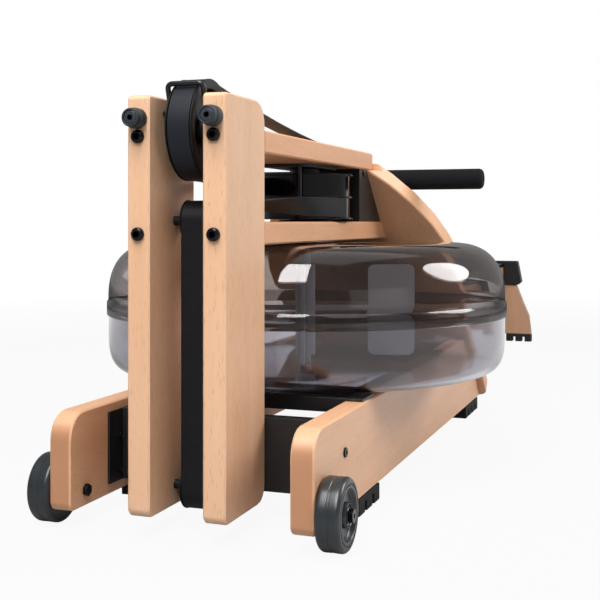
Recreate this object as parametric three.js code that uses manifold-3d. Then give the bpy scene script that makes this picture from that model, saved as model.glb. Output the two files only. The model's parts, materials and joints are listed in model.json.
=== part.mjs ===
// Water rowing machine with a beech frame, standing as it is stored between rows.
// Millimetres. X runs across the machine, Y from the front posts to the rower's end, Z up.
import * as THREE from 'three';
import { mergeVertices } from 'three/addons/utils/BufferGeometryUtils.js';
import Module from 'manifold-3d';

const wasm = await Module();
wasm.setup();

// Clearances and plate sizes used all over the machine
const fit = 0.3;
const plank = 26;
const plankEdge = 2;
const overrun = 10;
const boltRadius = 4;
const boltHeadRadius = 7.4;
const boltHeadHeight = 5;
const socketRadius = 2.6;
const socketDepth = 3;
const steelSheet = 3;

// Front posts
const postGap = 61.4;
const postDepth = 116.8;
const postFoot = 22.6;
const postHeight = 450;
const postFrontTopRadius = 5;
const postFrontFootRadius = 10;
const postBackTopRadius = 26;
const postBackFootRadius = 20;

// Base rails and their rubber feet
const railGap = 253.2;
const railHeight = 107.4;
const railNoseRadius = 30;
const railToeRadius = 10;
const footHeight = 20;
const footBase = 7;
const footGroove = 8;
const frontFootStart = 168;
const frontFootLength = 91;
const frontFootLugs = 3;
const rearFootBehindBoard = 200;
const rearFootLength = 115;
const rearFootLugs = 4;

// Steel cross member between the rails, behind the posts
const crossFoot = 33;
const crossHeight = 84;
const crossLip = 18;
const crossFlange = 49;
const crossFlangeLead = 33;

// Transport wheels
const wheelRadius = 38.5;
const wheelWidth = 27;
const wheelY = 33;
const wheelRound = 5;
const wheelDish = 5;
const wheelRimInner = 26;
const wheelHubRadius = 13;
const wheelGrooveDepth = 1.5;
const wheelGrooveWidth = 2;
const wheelGrooveInset = 4;

// Decks between the posts and the footboard
const upperDeckTop = 441.4;
const upperDeckShort = 57;
const lowerDeckTop = 337.7;
const deckBoltReach = 35;

// Footboard: at the lower deck it leans in over the tank's rim
const boardAngle = THREE.MathUtils.degToRad(43);
const boardOverTank = 66.6;
const boardFoot = 20;
const boardLength = 585;
const boardHalf = 165;
const boardShoulder = 311;
const boardShoulderRadius = 385;
const boardCornerRadius = 12;

// Black bracket between the decks, in front of the footboard
const spacerBehindReel = 22.8;
const spacerInset = 2.5;
const spacerBend = 4;

// Water tank, a clear gap behind the posts
const tankGap = 35.8;
const tankRadius = 276;
const tankWall = 4;
const tankBandLip = 2;
const tankBandHeight = 19;
const tankSeam = 210;
const tankTop = 308.5;
const tankShoulder = 71;
const tankUpperPower = 2.5;
const tankLowerPower = 4.5;
const tankBossRadius = 45;
const shaftPlay = 2;
const plugAside = 140;
const plugBehindAxis = 60;
const plugRadius = 20;
const plugCapRadius = 26;
const plugCapHeight = 6;
const plugStem = 9;
const plugGripRadius = 9;

// Steel bars that carry the tank
const supportHalf = 150;
const supportWidth = 49;
const supportLip = 14;
const supportInset = 36.4;

// Impeller and its shaft
const shaftRadius = 8;
const shaftFootGap = 1;
const hubRadius = 14;
const bladeCount = 4;
const bladeTurn = THREE.MathUtils.degToRad(17);
const bladeInner = 88;
const bladeOuter = 153;
const bladeFoot = 150;
const bladeTop = 283;
const bladeThickness = 4;
const bladeCorner = 10;
const armWidth = 26;
const armDrop = 8;

// Reel that the two straps wind on
const reelRadius = 66.6;
const reelCore = 61;
const reelFoot = 341;
const reelTop = 403.5;
const reelFlange = 2.5;
const reelSplit = 371.5;
const strapWound = 1.4;

// Reel bracket under the upper deck and the bearing on the lower deck
const bracketHalf = 34;
const bracketPlate = 4;
const bracketBack = 50;
const bracketLead = 92;
const bracketBoss = 20;
const bracketCorner = 12;
const keeperX = 18.5;
const keeperLead = 79;
const keeperRadius = 2.5;
const bearingRadius = 37;
const bearingGap = 0.6;

// Straps
const strapWidth = 25;
const strapThickness = 2;
const strapSag = 7.5;
const beltWidth = 30;
const beltEnd = 250;

// Top pulley
const topPulleyY = 61;
const topPulleyZ = 438.5;
const topPulleyRadius = 53.3;
const topPulleyFlange = 55.8;
const topPulleyHalf = 15.5;
const topPulleyFlangeWidth = 2;
const topPulleyRim = 44;
const topPulleyHub = 16;
const topPulleyWeb = 4;
const axleRadius = 6;
const axleSeat = 14;

// Guard over the top pulley
const guardRadius = 3.2;
const guardSpread = 20.8;
const guardY = 24;
const guardZ = 486;
const guardEarY = 34;
const guardEarZ = 456;
const guardBend = 6;

// Recoil pulleys
const recoilPulleyY = 64;
const recoilUpperZ = 339;
const recoilUpperRadius = 20;
const recoilLowerZ = 46;
const recoilLowerRadius = 22;
const recoilFlangeRise = 3;
const recoilFlangeWidth = 2;
const recoilStub = 5;
const recoilSeat = 12;

// Bungee that pulls the recoil strap back
const bungeeRadius = 4;
const bungeeRise = 26;

// Rubber buffers on the posts, used when the machine is stood on end
const bufferRadius = 11;
const bufferLength = 20;
const bufferRound = 3;
const bufferBelowTop = 25.2;

// Handle
const handleBehindBoard = 3;
const handleZ = 403;
const handleRadius = 15.7;
const handleHalf = 215;
const handleRound = 8;
const clampWidth = 34;
const clampWall = 3;
const clampLug = 12;
const handleRise = THREE.MathUtils.degToRad(9);

// Handle rest on the rower's side of the footboard
const restMiddle = 46;
const restWidth = 13;
const restShelf = 17;
const restShelfThickness = 6;
const restUpright = 8;
const restFoot = 42;
const restHead = 16;
const restPlate = 4;
const restPlateHeight = 16;

// Seat rail
const seatRailWidth = 60;
const seatRailHeight = 57;
const trackSheet = 2;
const trackLip = 9;

// Rear leg and the end cap of the seat rail
const legFront = 2111;
const legHalf = 105;
const legHeight = 139;
const legTopShare = 0.61;
const legFootInner = 36.5;
const legFootLugs = 3;
const capFootHalf = 79;
const capTopHalf = 68;
const capHeight = 66;
const capChamfer = 8;
const capCorner = 4;
const capLead = 8;
const capBack = 30;
const capWall = 6;

// Seat
const seatBehindBoard = 320;
const seatHalf = 130;
const seatLength = 220;
const seatCrown = 13;
const seatEdge = 27;
const seatDrawIn = 7;
const seatTuck = 6;
const carriageLength = 130;
const carriageSheet = 3;
const carriagePlay = 2;
const carriageUnder = 3;
const carriageLip = 13;
const seatPlateHalf = 105;
const seatPlateLength = 170;
const seatPlateCorner = 20;
const rollerRadius = 12;
const rollerWidth = 12;
const rollerMiddle = 17;
const rollerAxle = 4;
const rollerSpacing = 90;
const rollerHeadroom = 2;

// Footplates, heel cups and foot straps
const footMiddle = 85;
const footplateHalf = 41;
const footplateStart = 165;
const footplateLength = 300;
const footplateThickness = 8;
const footplateToeRadius = 34;
const footplateHeelRadius = 14;
const ribCount = 5;
const ribWidth = 4;
const ribHeight = 1.5;
const ribLength = 56;
const ribStart = 205;
const ribSpacing = 14;
const slotStart = 22;
const slotLength = 104;
const slotWidth = 12;
const heelHalf = 38;
const heelStart = 10;
const heelLength = 72;
const heelHeight = 36;
const heelWall = 4;
const heelBase = 3;
const heelRadius = 30;
const heelLug = 32;
const heelLugDepth = 5;
const heelLugStart = 24;
const footStrapWidth = 38;
const footStrapThickness = 2.5;
const footStrapStart = 172;
const footStrapHalf = 36;
const footStrapHeight = 46;

// How finely round forms are drawn
const cornerSteps = 3;
const edgeSteps = 1;
const barSides = 16;
const smallRound = 20;
const wheelSides = 28;
const pulleySides = 32;
const tankSides = 40;
const tankCurveSteps = 6;
const strapLead = 22;
const strapSteps = 14;
const strapArcStep = THREE.MathUtils.degToRad(6.5);

// Places worked out from the sizes above
const tankY = postDepth + tankGap + tankRadius + tankBandLip;
const boardAtLowerDeck = tankY + tankRadius + tankBandLip - boardOverTank;
const upperDeckEnd = boardAtLowerDeck - upperDeckShort;
const spacerFront = tankY + reelRadius + spacerBehindReel;
const handleY = boardAtLowerDeck + handleBehindBoard;
const seatY = boardAtLowerDeck + seatBehindBoard;
const rearFootStart = boardAtLowerDeck + rearFootBehindBoard;
const frontSupportStart = tankY - tankRadius + supportInset;
const plugX = -plugAside;
const postInner = postGap / 2;
const postOuter = postInner + plank;
const postMiddle = postInner + plank / 2;
const postTop = postFoot + postHeight;
const railInner = railGap / 2;
const railOuter = railInner + plank;
const railFoot = footHeight + fit;
const railTop = railFoot + railHeight;
const crossFront = postDepth + fit;
const deckHalf = postOuter;
const deckFront = postDepth + fit;
const upperDeckFoot = upperDeckTop - plank;
const lowerDeckFoot = lowerDeckTop - plank;
const boardSine = Math.sin(boardAngle);
const boardCosine = Math.cos(boardAngle);
const boardThrough = plank / boardSine;
const tankFoot = railTop + fit + steelSheet + fit;
const tankBossTop = lowerDeckFoot - fit;
const wheelInner = railOuter + fit;
const wheelOuter = wheelInner + wheelWidth;
const reelBore = shaftRadius + fit;
const strapHeightUpper = (reelSplit + reelFlange / 2 + reelTop - reelFlange) / 2;
const strapHeightLower = (reelFoot + reelFlange + reelSplit - reelFlange / 2) / 2;
const strapWrap = reelCore + strapWound + fit + strapThickness / 2;
const seatRailFoot = footHeight + legHeight + fit;
const seatRailTop = seatRailFoot + seatRailHeight;
const trackTop = seatRailTop + fit + trackSheet;
const trackOuter = seatRailWidth / 2 + fit + trackSheet;
const rollerZ = trackTop + fit + rollerRadius;
const seatPlateFoot = rollerZ + rollerRadius + rollerHeadroom;
const cushionFoot = seatPlateFoot + carriageSheet + fit;
const legBack = legFront + plank;
const capRear = legFront + capBack;

// Y of the footboard's front face and of its rear face at a height
const boardFront = (z) => boardAtLowerDeck + (lowerDeckTop - z) / Math.tan(boardAngle);
const boardRear = (z) => boardFront(z) + boardThrough;

// Materials
const finish = (color, roughness, metalness = 0) =>
  new THREE.MeshStandardMaterial({ color, roughness, metalness });
const beech = finish(0xd9a77c, 0.5);
const blackSteel = finish(0x17181a, 0.45, 0.6);
const zincSteel = finish(0x8c8e90, 0.35, 0.9);
const blackPlastic = finish(0x1a1b1d, 0.5);
const rubber = finish(0x141414, 0.85);
const wheelPlastic = finish(0x33383b, 0.55);
const webbing = finish(0x1c1c1d, 0.9);
const foam = finish(0x191c20, 0.8);
const vinyl = finish(0x1d1d1f, 0.6);
const greyPlastic = finish(0x70706f, 0.5);
const aluminium = finish(0x1f2022, 0.4, 0.8);
const smokedPlastic = new THREE.MeshStandardMaterial({
  color: 0x4a4142, roughness: 0.1, transparent: true, opacity: 0.55,
});
const clearPlastic = new THREE.MeshStandardMaterial({
  color: 0xc4c6ca, roughness: 0.15, transparent: true, opacity: 0.45,
});

// Joins shared corners, drops flat triangles and turns all faces outwards
function closed(geometry) {
  const bare = new THREE.BufferGeometry();
  bare.setAttribute('position', geometry.getAttribute('position').clone());
  if (geometry.index) {
    bare.setIndex(geometry.index.clone());
  }
  const merged = mergeVertices(bare);
  const corners = merged.index.array;
  const places = merged.getAttribute('position');
  const kept = [];
  const [a, b, c] = [new THREE.Vector3(), new THREE.Vector3(), new THREE.Vector3()];
  let volume = 0;
  for (let i = 0; i < corners.length; i += 3) {
    const [p, q, r] = corners.slice(i, i + 3);
    if (p === q || q === r || r === p) {
      continue;
    }
    a.fromBufferAttribute(places, p);
    b.fromBufferAttribute(places, q);
    c.fromBufferAttribute(places, r);
    volume += a.dot(b.cross(c));
    kept.push([p, q, r]);
  }
  const turned = volume < 0 ? kept.map(([p, q, r]) => [p, r, q]) : kept;
  merged.setIndex(turned.flat());
  return merged;
}

// Boolean joins and cuts
function toSolid(geometry) {
  const whole = closed(geometry);
  return new wasm.Manifold(new wasm.Mesh({
    numProp: 3,
    vertProperties: new Float32Array(whole.getAttribute('position').array),
    triVerts: new Uint32Array(whole.index.array),
  }));
}

function toGeometry(solid) {
  const mesh = solid.getMesh();
  const geometry = new THREE.BufferGeometry();
  geometry.setAttribute('position', new THREE.BufferAttribute(mesh.vertProperties, 3));
  geometry.setIndex(new THREE.BufferAttribute(mesh.triVerts, 1));
  return geometry;
}

const join = (first, ...others) =>
  toGeometry(others.reduce((whole, next) => whole.add(toSolid(next)), toSolid(first)));
const cut = (body, ...tools) =>
  toGeometry(tools.reduce((whole, tool) => whole.subtract(toSolid(tool)), toSolid(body)));

// An outline from corners [x, y, radius], drawn anticlockwise. Where the first corner is sharp,
// the second is sharp too.
function rounded(corners) {
  const shape = new THREE.Shape();
  corners.forEach(([x, y, radius = 0], i) => {
    const [bx, by] = corners.at(i - 1);
    const [ax, ay] = corners[(i + 1) % corners.length];
    if (radius === 0) {
      if (i === 0) {
        shape.moveTo(x, y);
      } else {
        shape.lineTo(x, y);
      }
      return;
    }
    const corner = new THREE.Vector2(x, y);
    const before = new THREE.Vector2(bx - x, by - y).normalize();
    const after = new THREE.Vector2(ax - x, ay - y).normalize();
    const half = Math.acos(before.dot(after)) / 2;
    const middle = before.clone().add(after).normalize().multiplyScalar(radius / Math.sin(half));
    const centre = corner.clone().add(middle);
    const reach = radius / Math.tan(half);
    const start = corner.clone().addScaledVector(before, reach).sub(centre);
    const end = corner.clone().addScaledVector(after, reach).sub(centre);
    const clockwise = before.cross(after) > 0;
    shape.absarc(centre.x, centre.y, radius, start.angle(), end.angle(), clockwise);
  });
  return shape;
}

// A plate of an outline. The edge is the rounding of its two rims.
function plate(shape, thickness, edge = 0) {
  const geometry = new THREE.ExtrudeGeometry(shape, {
    depth: thickness - 2 * edge,
    bevelEnabled: edge > 0,
    bevelThickness: edge,
    bevelSize: edge,
    bevelOffset: -edge,
    bevelSegments: edgeSteps,
    curveSegments: cornerSteps,
  });
  return geometry.translate(0, 0, edge);
}

const axisX = new THREE.Vector3(1, 0, 0);
const axisY = new THREE.Vector3(0, 1, 0);
const axisZ = new THREE.Vector3(0, 0, 1);

// Plates drawn in Y and Z, in X and Z, and in X and Y, between two faces
function plateAlongX(shape, x0, x1, edge = 0) {
  const turn = new THREE.Matrix4().makeBasis(axisY, axisZ, axisX);
  return plate(shape, x1 - x0, edge).applyMatrix4(turn).translate(x0, 0, 0);
}

function plateAlongY(shape, y0, y1, edge = 0) {
  const turn = new THREE.Matrix4().makeBasis(axisX, axisZ, axisY.clone().negate());
  return plate(shape, y1 - y0, edge).applyMatrix4(turn).translate(0, y1, 0);
}

function plateAlongZ(shape, z0, z1, edge = 0) {
  return plate(shape, z1 - z0, edge).translate(0, 0, z0);
}

function block(x0, x1, y0, y1, z0, z1) {
  const geometry = new THREE.BoxGeometry(x1 - x0, y1 - y0, z1 - z0);
  return geometry.translate((x0 + x1) / 2, (y0 + y1) / 2, (z0 + z1) / 2);
}

// Round bars along the three axes
function barX(radius, x0, x1, y, z, sides = barSides) {
  const geometry = new THREE.CylinderGeometry(radius, radius, x1 - x0, sides);
  return geometry.rotateZ(Math.PI / 2).translate((x0 + x1) / 2, y, z);
}

function barY(radius, y0, y1, x, z, sides = barSides) {
  const geometry = new THREE.CylinderGeometry(radius, radius, y1 - y0, sides);
  return geometry.translate(x, (y0 + y1) / 2, z);
}

function barZ(radius, z0, z1, x, y, sides = barSides) {
  const geometry = new THREE.CylinderGeometry(radius, radius, z1 - z0, sides);
  return geometry.rotateX(Math.PI / 2).translate(x, y, (z0 + z1) / 2);
}

// Turned pieces. A profile is a list of [radius, distance along the axis].
function turned(profile, sides) {
  return new THREE.LatheGeometry(profile.map(([r, h]) => new THREE.Vector2(r, h)), sides);
}

const turnedX = (profile, sides) => turned(profile, sides).rotateZ(-Math.PI / 2);
const turnedZ = (profile, sides) => turned(profile, sides).rotateX(Math.PI / 2);

// A profile that is the same on both sides of its middle, with a bore
const mirroredProfile = (half) => {
  const other = half.map(([r, h]) => [r, -h]).reverse();
  return [...half, ...other, half[0]];
};

const mirrored = (geometry) => closed(geometry).clone().applyMatrix4(new THREE.Matrix4().makeScale(-1, 1, 1));

// A closed skin through rings of points, with flat ends
function skin(rings) {
  const size = rings[0].length;
  const places = rings.flat().flatMap((point) => [point.x, point.y, point.z]);
  const index = [];
  for (let k = 0; k < rings.length - 1; k += 1) {
    for (let i = 0; i < size; i += 1) {
      const j = (i + 1) % size;
      const [a, b, c, d] = [k * size + i, k * size + j, (k + 1) * size + j, (k + 1) * size + i];
      index.push(a, b, c, a, c, d);
    }
  }
  const last = (rings.length - 1) * size;
  for (let i = 1; i < size - 1; i += 1) {
    index.push(0, i + 1, i, last, last + i, last + i + 1);
  }
  const geometry = new THREE.BufferGeometry();
  geometry.setAttribute('position', new THREE.BufferAttribute(new Float32Array(places), 3));
  geometry.setIndex(index);
  return geometry;
}

// A flat strap along its middle line. Each station has a place and the direction of its width.
function strap(stations, width, thickness) {
  const rings = stations.map(({ at, across }, i) => {
    const before = stations[Math.max(i - 1, 0)].at;
    const after = stations[Math.min(i + 1, stations.length - 1)].at;
    const along = after.clone().sub(before).normalize();
    const side = across.clone().addScaledVector(along, -across.dot(along)).normalize();
    const normal = along.clone().cross(side);
    const corner = (w, t) => at.clone().addScaledVector(side, w * width / 2)
      .addScaledVector(normal, t * thickness / 2);
    return [corner(-1, -1), corner(1, -1), corner(1, 1), corner(-1, 1)];
  });
  return skin(rings);
}

// From the footboard's own frame: distance across, up its slope, and out of its front face
// towards the rower. Across runs against X, so a piece for the right side is drawn at -X.
function onBoard(geometry) {
  const turn = new THREE.Matrix4().makeBasis(
    axisX.clone().negate(),
    new THREE.Vector3(0, -boardCosine, boardSine),
    new THREE.Vector3(0, boardSine, boardCosine),
  );
  return geometry.applyMatrix4(turn).translate(0, boardFront(boardFoot), boardFoot);
}

const assembly = new THREE.Group();

function piece(name, geometry, material) {
  const mesh = new THREE.Mesh(closed(geometry), material);
  mesh.name = name;
  assembly.add(mesh);
}

const sides = [['left', -1], ['right', 1]];

// A piece for each side, drawn on the right and mirrored for the left
function pair(name, geometry, material) {
  piece(`${name}_right`, geometry, material);
  piece(`${name}_left`, mirrored(geometry), material);
}

// Two upright beech posts with their bores for deck bolts and pulley axles
function posts() {
  const outline = rounded([
    [0, postFoot, postFrontFootRadius],
    [postDepth, postFoot, postBackFootRadius],
    [postDepth, postTop, postBackTopRadius],
    [0, postTop, postFrontTopRadius],
  ]);
  const board = plateAlongX(outline, postInner, postOuter, plankEdge);
  const boltBores = [upperDeckFoot, lowerDeckFoot].map((z) =>
    barY(boltRadius + fit, -overrun, postDepth + overrun, postMiddle, z + plank / 2));
  const seatOf = (radius, depth, y, z) =>
    barX(radius + fit, postInner - overrun, postInner + depth, y, z);
  pair('post', cut(
    board,
    ...boltBores,
    seatOf(axleRadius, axleSeat + fit, topPulleyY, topPulleyZ),
    seatOf(recoilStub, recoilSeat + fit, recoilPulleyY, recoilUpperZ),
    seatOf(recoilStub, recoilSeat + fit, lowerPulleyY, recoilLowerZ),
  ), beech);
}

const lowerPulleyY = recoilPulleyY - recoilUpperRadius + recoilLowerRadius;

// Base rails, mitred against the footboard
function rails() {
  const clear = fit / boardSine;
  const outline = rounded([
    [0, railFoot, railToeRadius],
    [boardFront(railFoot) - clear, railFoot],
    [boardFront(railTop) - clear, railTop],
    [0, railTop, railNoseRadius],
  ]);
  const board = plateAlongX(outline, railInner, railOuter, plankEdge);
  const bore = barX(boltRadius + fit, railInner - overrun, railOuter + overrun, wheelY, wheelRadius);
  pair('base_rail', cut(board, bore), beech);
}

// A ribbed rubber foot: a flat base with lugs under it, as an outline from start to start + length
function footOutline(start, length, lugs) {
  const lug = (length - footGroove * (lugs - 1)) / lugs;
  const corners = [];
  for (let i = 0; i < lugs; i += 1) {
    const from = start + i * (lug + footGroove);
    corners.push([from, footHeight - footBase], [from, 0], [from + lug, 0], [from + lug, footHeight - footBase]);
  }
  corners[0] = [start, 0];
  corners.splice(1, 1);
  corners.pop();
  corners.push([start + length, footHeight], [start, footHeight]);
  return rounded(corners);
}

function railFeet() {
  const foot = (start, length, lugs) => plateAlongX(
    footOutline(start, length, lugs), railInner, railOuter,
  );
  pair('foot_front', foot(frontFootStart, frontFootLength, frontFootLugs), rubber);
  pair('foot_rear', foot(rearFootStart, rearFootLength, rearFootLugs), rubber);
}

// Folded steel channel between the rails with a flange plate on each rail
function crossMember() {
  const top = crossFoot + crossHeight;
  const reach = railInner - fit;
  const web = block(-reach, reach, crossFront, crossFront + steelSheet, crossFoot, top);
  const lips = [crossFoot, top - steelSheet].map((z) =>
    block(-reach, reach, crossFront, crossFront + crossLip, z, z + steelSheet));
  const flangeStart = crossFront - crossFlangeLead;
  const flanges = sides.map(([, side]) => {
    const inner = side * (reach - steelSheet);
    const outer = side * reach;
    return block(Math.min(inner, outer), Math.max(inner, outer), flangeStart,
      flangeStart + crossFlange, crossFoot, top);
  });
  piece('cross_member', join(web, ...lips, ...flanges), blackSteel);
}

// Wheel with a rounded tread, a ring groove in its face and a sunk hub
function wheels() {
  const half = wheelWidth / 2;
  const bore = boltRadius + fit;
  const tread = [0, 1, 2].map((i) => i * Math.PI / 4).map((turn) => [
    wheelRadius - wheelRound + wheelRound * Math.sin(turn),
    half - wheelRound + wheelRound * Math.cos(turn),
  ]);
  const profile = [
    [bore, half],
    [wheelHubRadius, half],
    [wheelHubRadius, half - wheelDish],
    [wheelRimInner, half - wheelDish],
    [wheelRimInner, half],
    [wheelRimInner + wheelGrooveInset, half],
    [wheelRimInner + wheelGrooveInset, half - wheelGrooveDepth],
    [wheelRimInner + wheelGrooveInset + wheelGrooveWidth, half - wheelGrooveDepth],
    [wheelRimInner + wheelGrooveInset + wheelGrooveWidth, half],
    ...tread,
    ...tread.map(([r, h]) => [r, -h]).reverse(),
    [bore, -half],
    [bore, half],
  ];
  const wheel = turnedX(profile, wheelSides).translate(wheelInner + half, wheelY, wheelRadius);
  pair('wheel', wheel, wheelPlastic);
  const shank = barX(boltRadius, railInner - fit - boltHeadHeight, wheelOuter + fit + boltHeadHeight,
    wheelY, wheelRadius);
  const head = barX(boltHeadRadius, wheelOuter + fit, wheelOuter + fit + boltHeadHeight, wheelY, wheelRadius);
  const nut = barX(boltHeadRadius, railInner - fit - boltHeadHeight, railInner - fit, wheelY, wheelRadius, 6);
  const socket = barX(socketRadius, wheelOuter + fit + boltHeadHeight - socketDepth,
    wheelOuter + boltHeadHeight + overrun, wheelY, wheelRadius, 6);
  pair('wheel_bolt', cut(join(shank, head, nut), socket), blackSteel);
}

// Long bolts through the posts into the deck ends, and the rubber buffers above them
function postFasteners() {
  const decks = [['upper', upperDeckFoot], ['lower', lowerDeckFoot]];
  decks.forEach(([name, foot]) => {
    const z = foot + plank / 2;
    const shank = barY(boltRadius, -fit - boltHeadHeight, deckFront + deckBoltReach, postMiddle, z);
    const head = barY(boltHeadRadius, -fit - boltHeadHeight, -fit, postMiddle, z);
    const socket = barY(socketRadius, -overrun - boltHeadHeight, -fit - boltHeadHeight + socketDepth,
      postMiddle, z, 6);
    pair(`deck_bolt_${name}`, cut(join(shank, head), socket), blackSteel);
  });
  const z = postTop - bufferBelowTop;
  const nose = [0, 1, 2].map((i) => i * Math.PI / 4).map((turn) => [
    bufferRadius - bufferRound + bufferRound * Math.sin(turn),
    -bufferLength + bufferRound - bufferRound * Math.cos(turn),
  ]);
  const body = turned([[0, -bufferLength], ...nose, [bufferRadius, -fit], [0, -fit]], smallRound)
    .translate(postMiddle, 0, z);
  const socket = barY(boltRadius, -bufferLength - overrun, -bufferLength / 2, postMiddle, z, 6);
  pair('buffer', cut(body, socket), rubber);
}

// The two decks. The upper one lies on the footboard's head, the lower one is mitred against it.
function decks() {
  const bores = (foot) => sides.map(([, side]) => barY(boltRadius + fit, deckFront - overrun,
    deckFront + deckBoltReach + fit, side * postMiddle, foot + plank / 2));
  const upper = plateAlongX(rounded([
    [deckFront, upperDeckFoot],
    [upperDeckEnd, upperDeckFoot],
    [upperDeckEnd, upperDeckTop],
    [deckFront, upperDeckTop],
  ]), -deckHalf, deckHalf, plankEdge);
  piece('upper_deck', cut(upper, ...bores(upperDeckFoot)), beech);
  const clear = fit / boardSine;
  const lower = plateAlongX(rounded([
    [deckFront, lowerDeckFoot],
    [boardFront(lowerDeckFoot) - clear, lowerDeckFoot],
    [boardFront(lowerDeckTop) - clear, lowerDeckTop],
    [deckFront, lowerDeckTop],
  ]), -deckHalf, deckHalf, plankEdge);
  const shaftHole = barZ(shaftRadius + shaftPlay, lowerDeckFoot - overrun, lowerDeckTop + overrun,
    0, tankY, smallRound);
  piece('lower_deck', cut(lower, ...bores(lowerDeckFoot), shaftHole), beech);
}

// Footboard: straight sides, round shoulders, and a notch for the end of the upper deck
function footboard() {
  const shape = new THREE.Shape();
  const head = Math.asin((boardLength - boardShoulder) / boardShoulderRadius);
  const centre = boardHalf - boardShoulderRadius;
  shape.moveTo(-boardHalf + boardCornerRadius, 0);
  shape.lineTo(boardHalf - boardCornerRadius, 0);
  shape.absarc(boardHalf - boardCornerRadius, boardCornerRadius, boardCornerRadius, -Math.PI / 2, 0, false);
  shape.absarc(centre, boardShoulder, boardShoulderRadius, 0, head, false);
  shape.absarc(-centre, boardShoulder, boardShoulderRadius, Math.PI - head, Math.PI, false);
  shape.absarc(-boardHalf + boardCornerRadius, boardCornerRadius, boardCornerRadius, Math.PI, Math.PI * 1.5, false);
  const board = onBoard(plate(shape, plank, plankEdge));
  const notch = block(-boardHalf, boardHalf, upperDeckEnd - plank * 4, upperDeckEnd + fit,
    upperDeckFoot - fit, upperDeckTop + plank);
  piece('footboard', cut(board, notch), beech);
}

// Folded black bracket between the decks: a front web and two cheeks up to the footboard
function deckSpacer() {
  const clear = fit / boardSine;
  const foot = lowerDeckTop + fit;
  const top = upperDeckFoot - fit;
  const outer = deckHalf - spacerInset;
  const whole = plateAlongX(rounded([
    [spacerFront, foot],
    [boardFront(foot) - clear, foot],
    [boardFront(top) - clear, top],
    [spacerFront, top],
  ]), -outer, outer);
  const inner = outer - steelSheet;
  const bay = plateAlongZ(rounded([
    [-inner, spacerFront + steelSheet, spacerBend],
    [inner, spacerFront + steelSheet, spacerBend],
    [inner, boardFront(foot) + overrun],
    [-inner, boardFront(foot) + overrun],
  ]), foot - overrun, top + overrun);
  piece('deck_spacer', cut(whole, bay), blackSteel);
}

// A quarter of a superellipse from a shell's rim to its flat, as [radius, height] points
function shellCurve(rimRadius, rimHeight, flatHeight, power, reverse) {
  const inner = tankRadius - tankShoulder;
  const points = [];
  for (let i = 0; i <= tankCurveSteps; i += 1) {
    const turn = i * Math.PI / 2 / tankCurveSteps;
    points.push([
      inner + (rimRadius - inner) * Math.cos(turn) ** (2 / power),
      rimHeight + (flatHeight - rimHeight) * Math.sin(turn) ** (2 / power),
    ]);
  }
  points[tankCurveSteps] = [inner, flatHeight];
  return reverse ? points.reverse() : points;
}

// Smoked upper shell with its joint band, and clear lower bowl
function tank() {
  const bandTop = tankSeam + tankBandHeight;
  const band = tankRadius + tankBandLip;
  const hole = shaftRadius + shaftPlay;
  const upper = [
    [band, tankSeam],
    [band, bandTop],
    ...shellCurve(tankRadius, bandTop, tankTop, tankUpperPower, false),
    [tankBossRadius, tankTop],
    [tankBossRadius, tankBossTop],
    [hole, tankBossTop],
    [hole, tankTop - tankWall],
    ...shellCurve(tankRadius - tankWall, bandTop, tankTop - tankWall, tankUpperPower, true),
    [tankRadius - tankWall, tankSeam],
    [band, tankSeam],
  ];
  const upperShell = turnedZ(upper, tankSides).translate(0, tankY, 0);
  const plugHole = barZ(plugRadius + fit, tankTop - tankWall - overrun, tankTop + overrun,
    plugX, tankY + plugBehindAxis, smallRound);
  piece('tank_upper_shell', cut(upperShell, plugHole), smokedPlastic);

  const rim = tankSeam - fit;
  const outer = tankRadius - 1 * fit;
  const lower = [
    [0, tankFoot],
    ...shellCurve(outer, rim, tankFoot, tankLowerPower, true),
    ...shellCurve(outer - tankWall, rim, tankFoot + tankWall, tankLowerPower, false),
    [0, tankFoot + tankWall],
  ];
  piece('tank_lower_shell', turnedZ(lower, tankSides).translate(0, tankY, 0), clearPlastic);

  const capFoot = tankTop + fit;
  const plugProfile = [
    [0, tankTop - plugStem],
    [plugRadius, tankTop - plugStem],
    [plugRadius, capFoot],
    [plugCapRadius, capFoot],
    [plugCapRadius, capFoot + plugCapHeight / 2],
    [plugCapRadius - plugCapHeight / 2, capFoot + plugCapHeight],
    [plugGripRadius, capFoot + plugCapHeight],
    [plugGripRadius, capFoot + plugCapHeight * 2],
    [0, capFoot + plugCapHeight * 2],
  ];
  piece('filler_plug', turnedZ(plugProfile, smallRound).translate(plugX, tankY + plugBehindAxis, 0), blackPlastic);
}

// Two folded steel bars across the rails under the tank
function tankSupports() {
  const foot = railTop + fit;
  const lipHalf = railInner - fit * 4;
  const bar = (start) => {
    const top = block(-supportHalf, supportHalf, start, start + supportWidth, foot, foot + steelSheet);
    const lips = [start, start + supportWidth - steelSheet].map((y) =>
      block(-lipHalf, lipHalf, y, y + steelSheet, foot - supportLip, foot + steelSheet));
    return join(top, ...lips);
  };
  piece('tank_support_front', bar(frontSupportStart), blackSteel);
  piece('tank_support_rear', bar(tankY * 2 - frontSupportStart - supportWidth), blackSteel);
}

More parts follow.
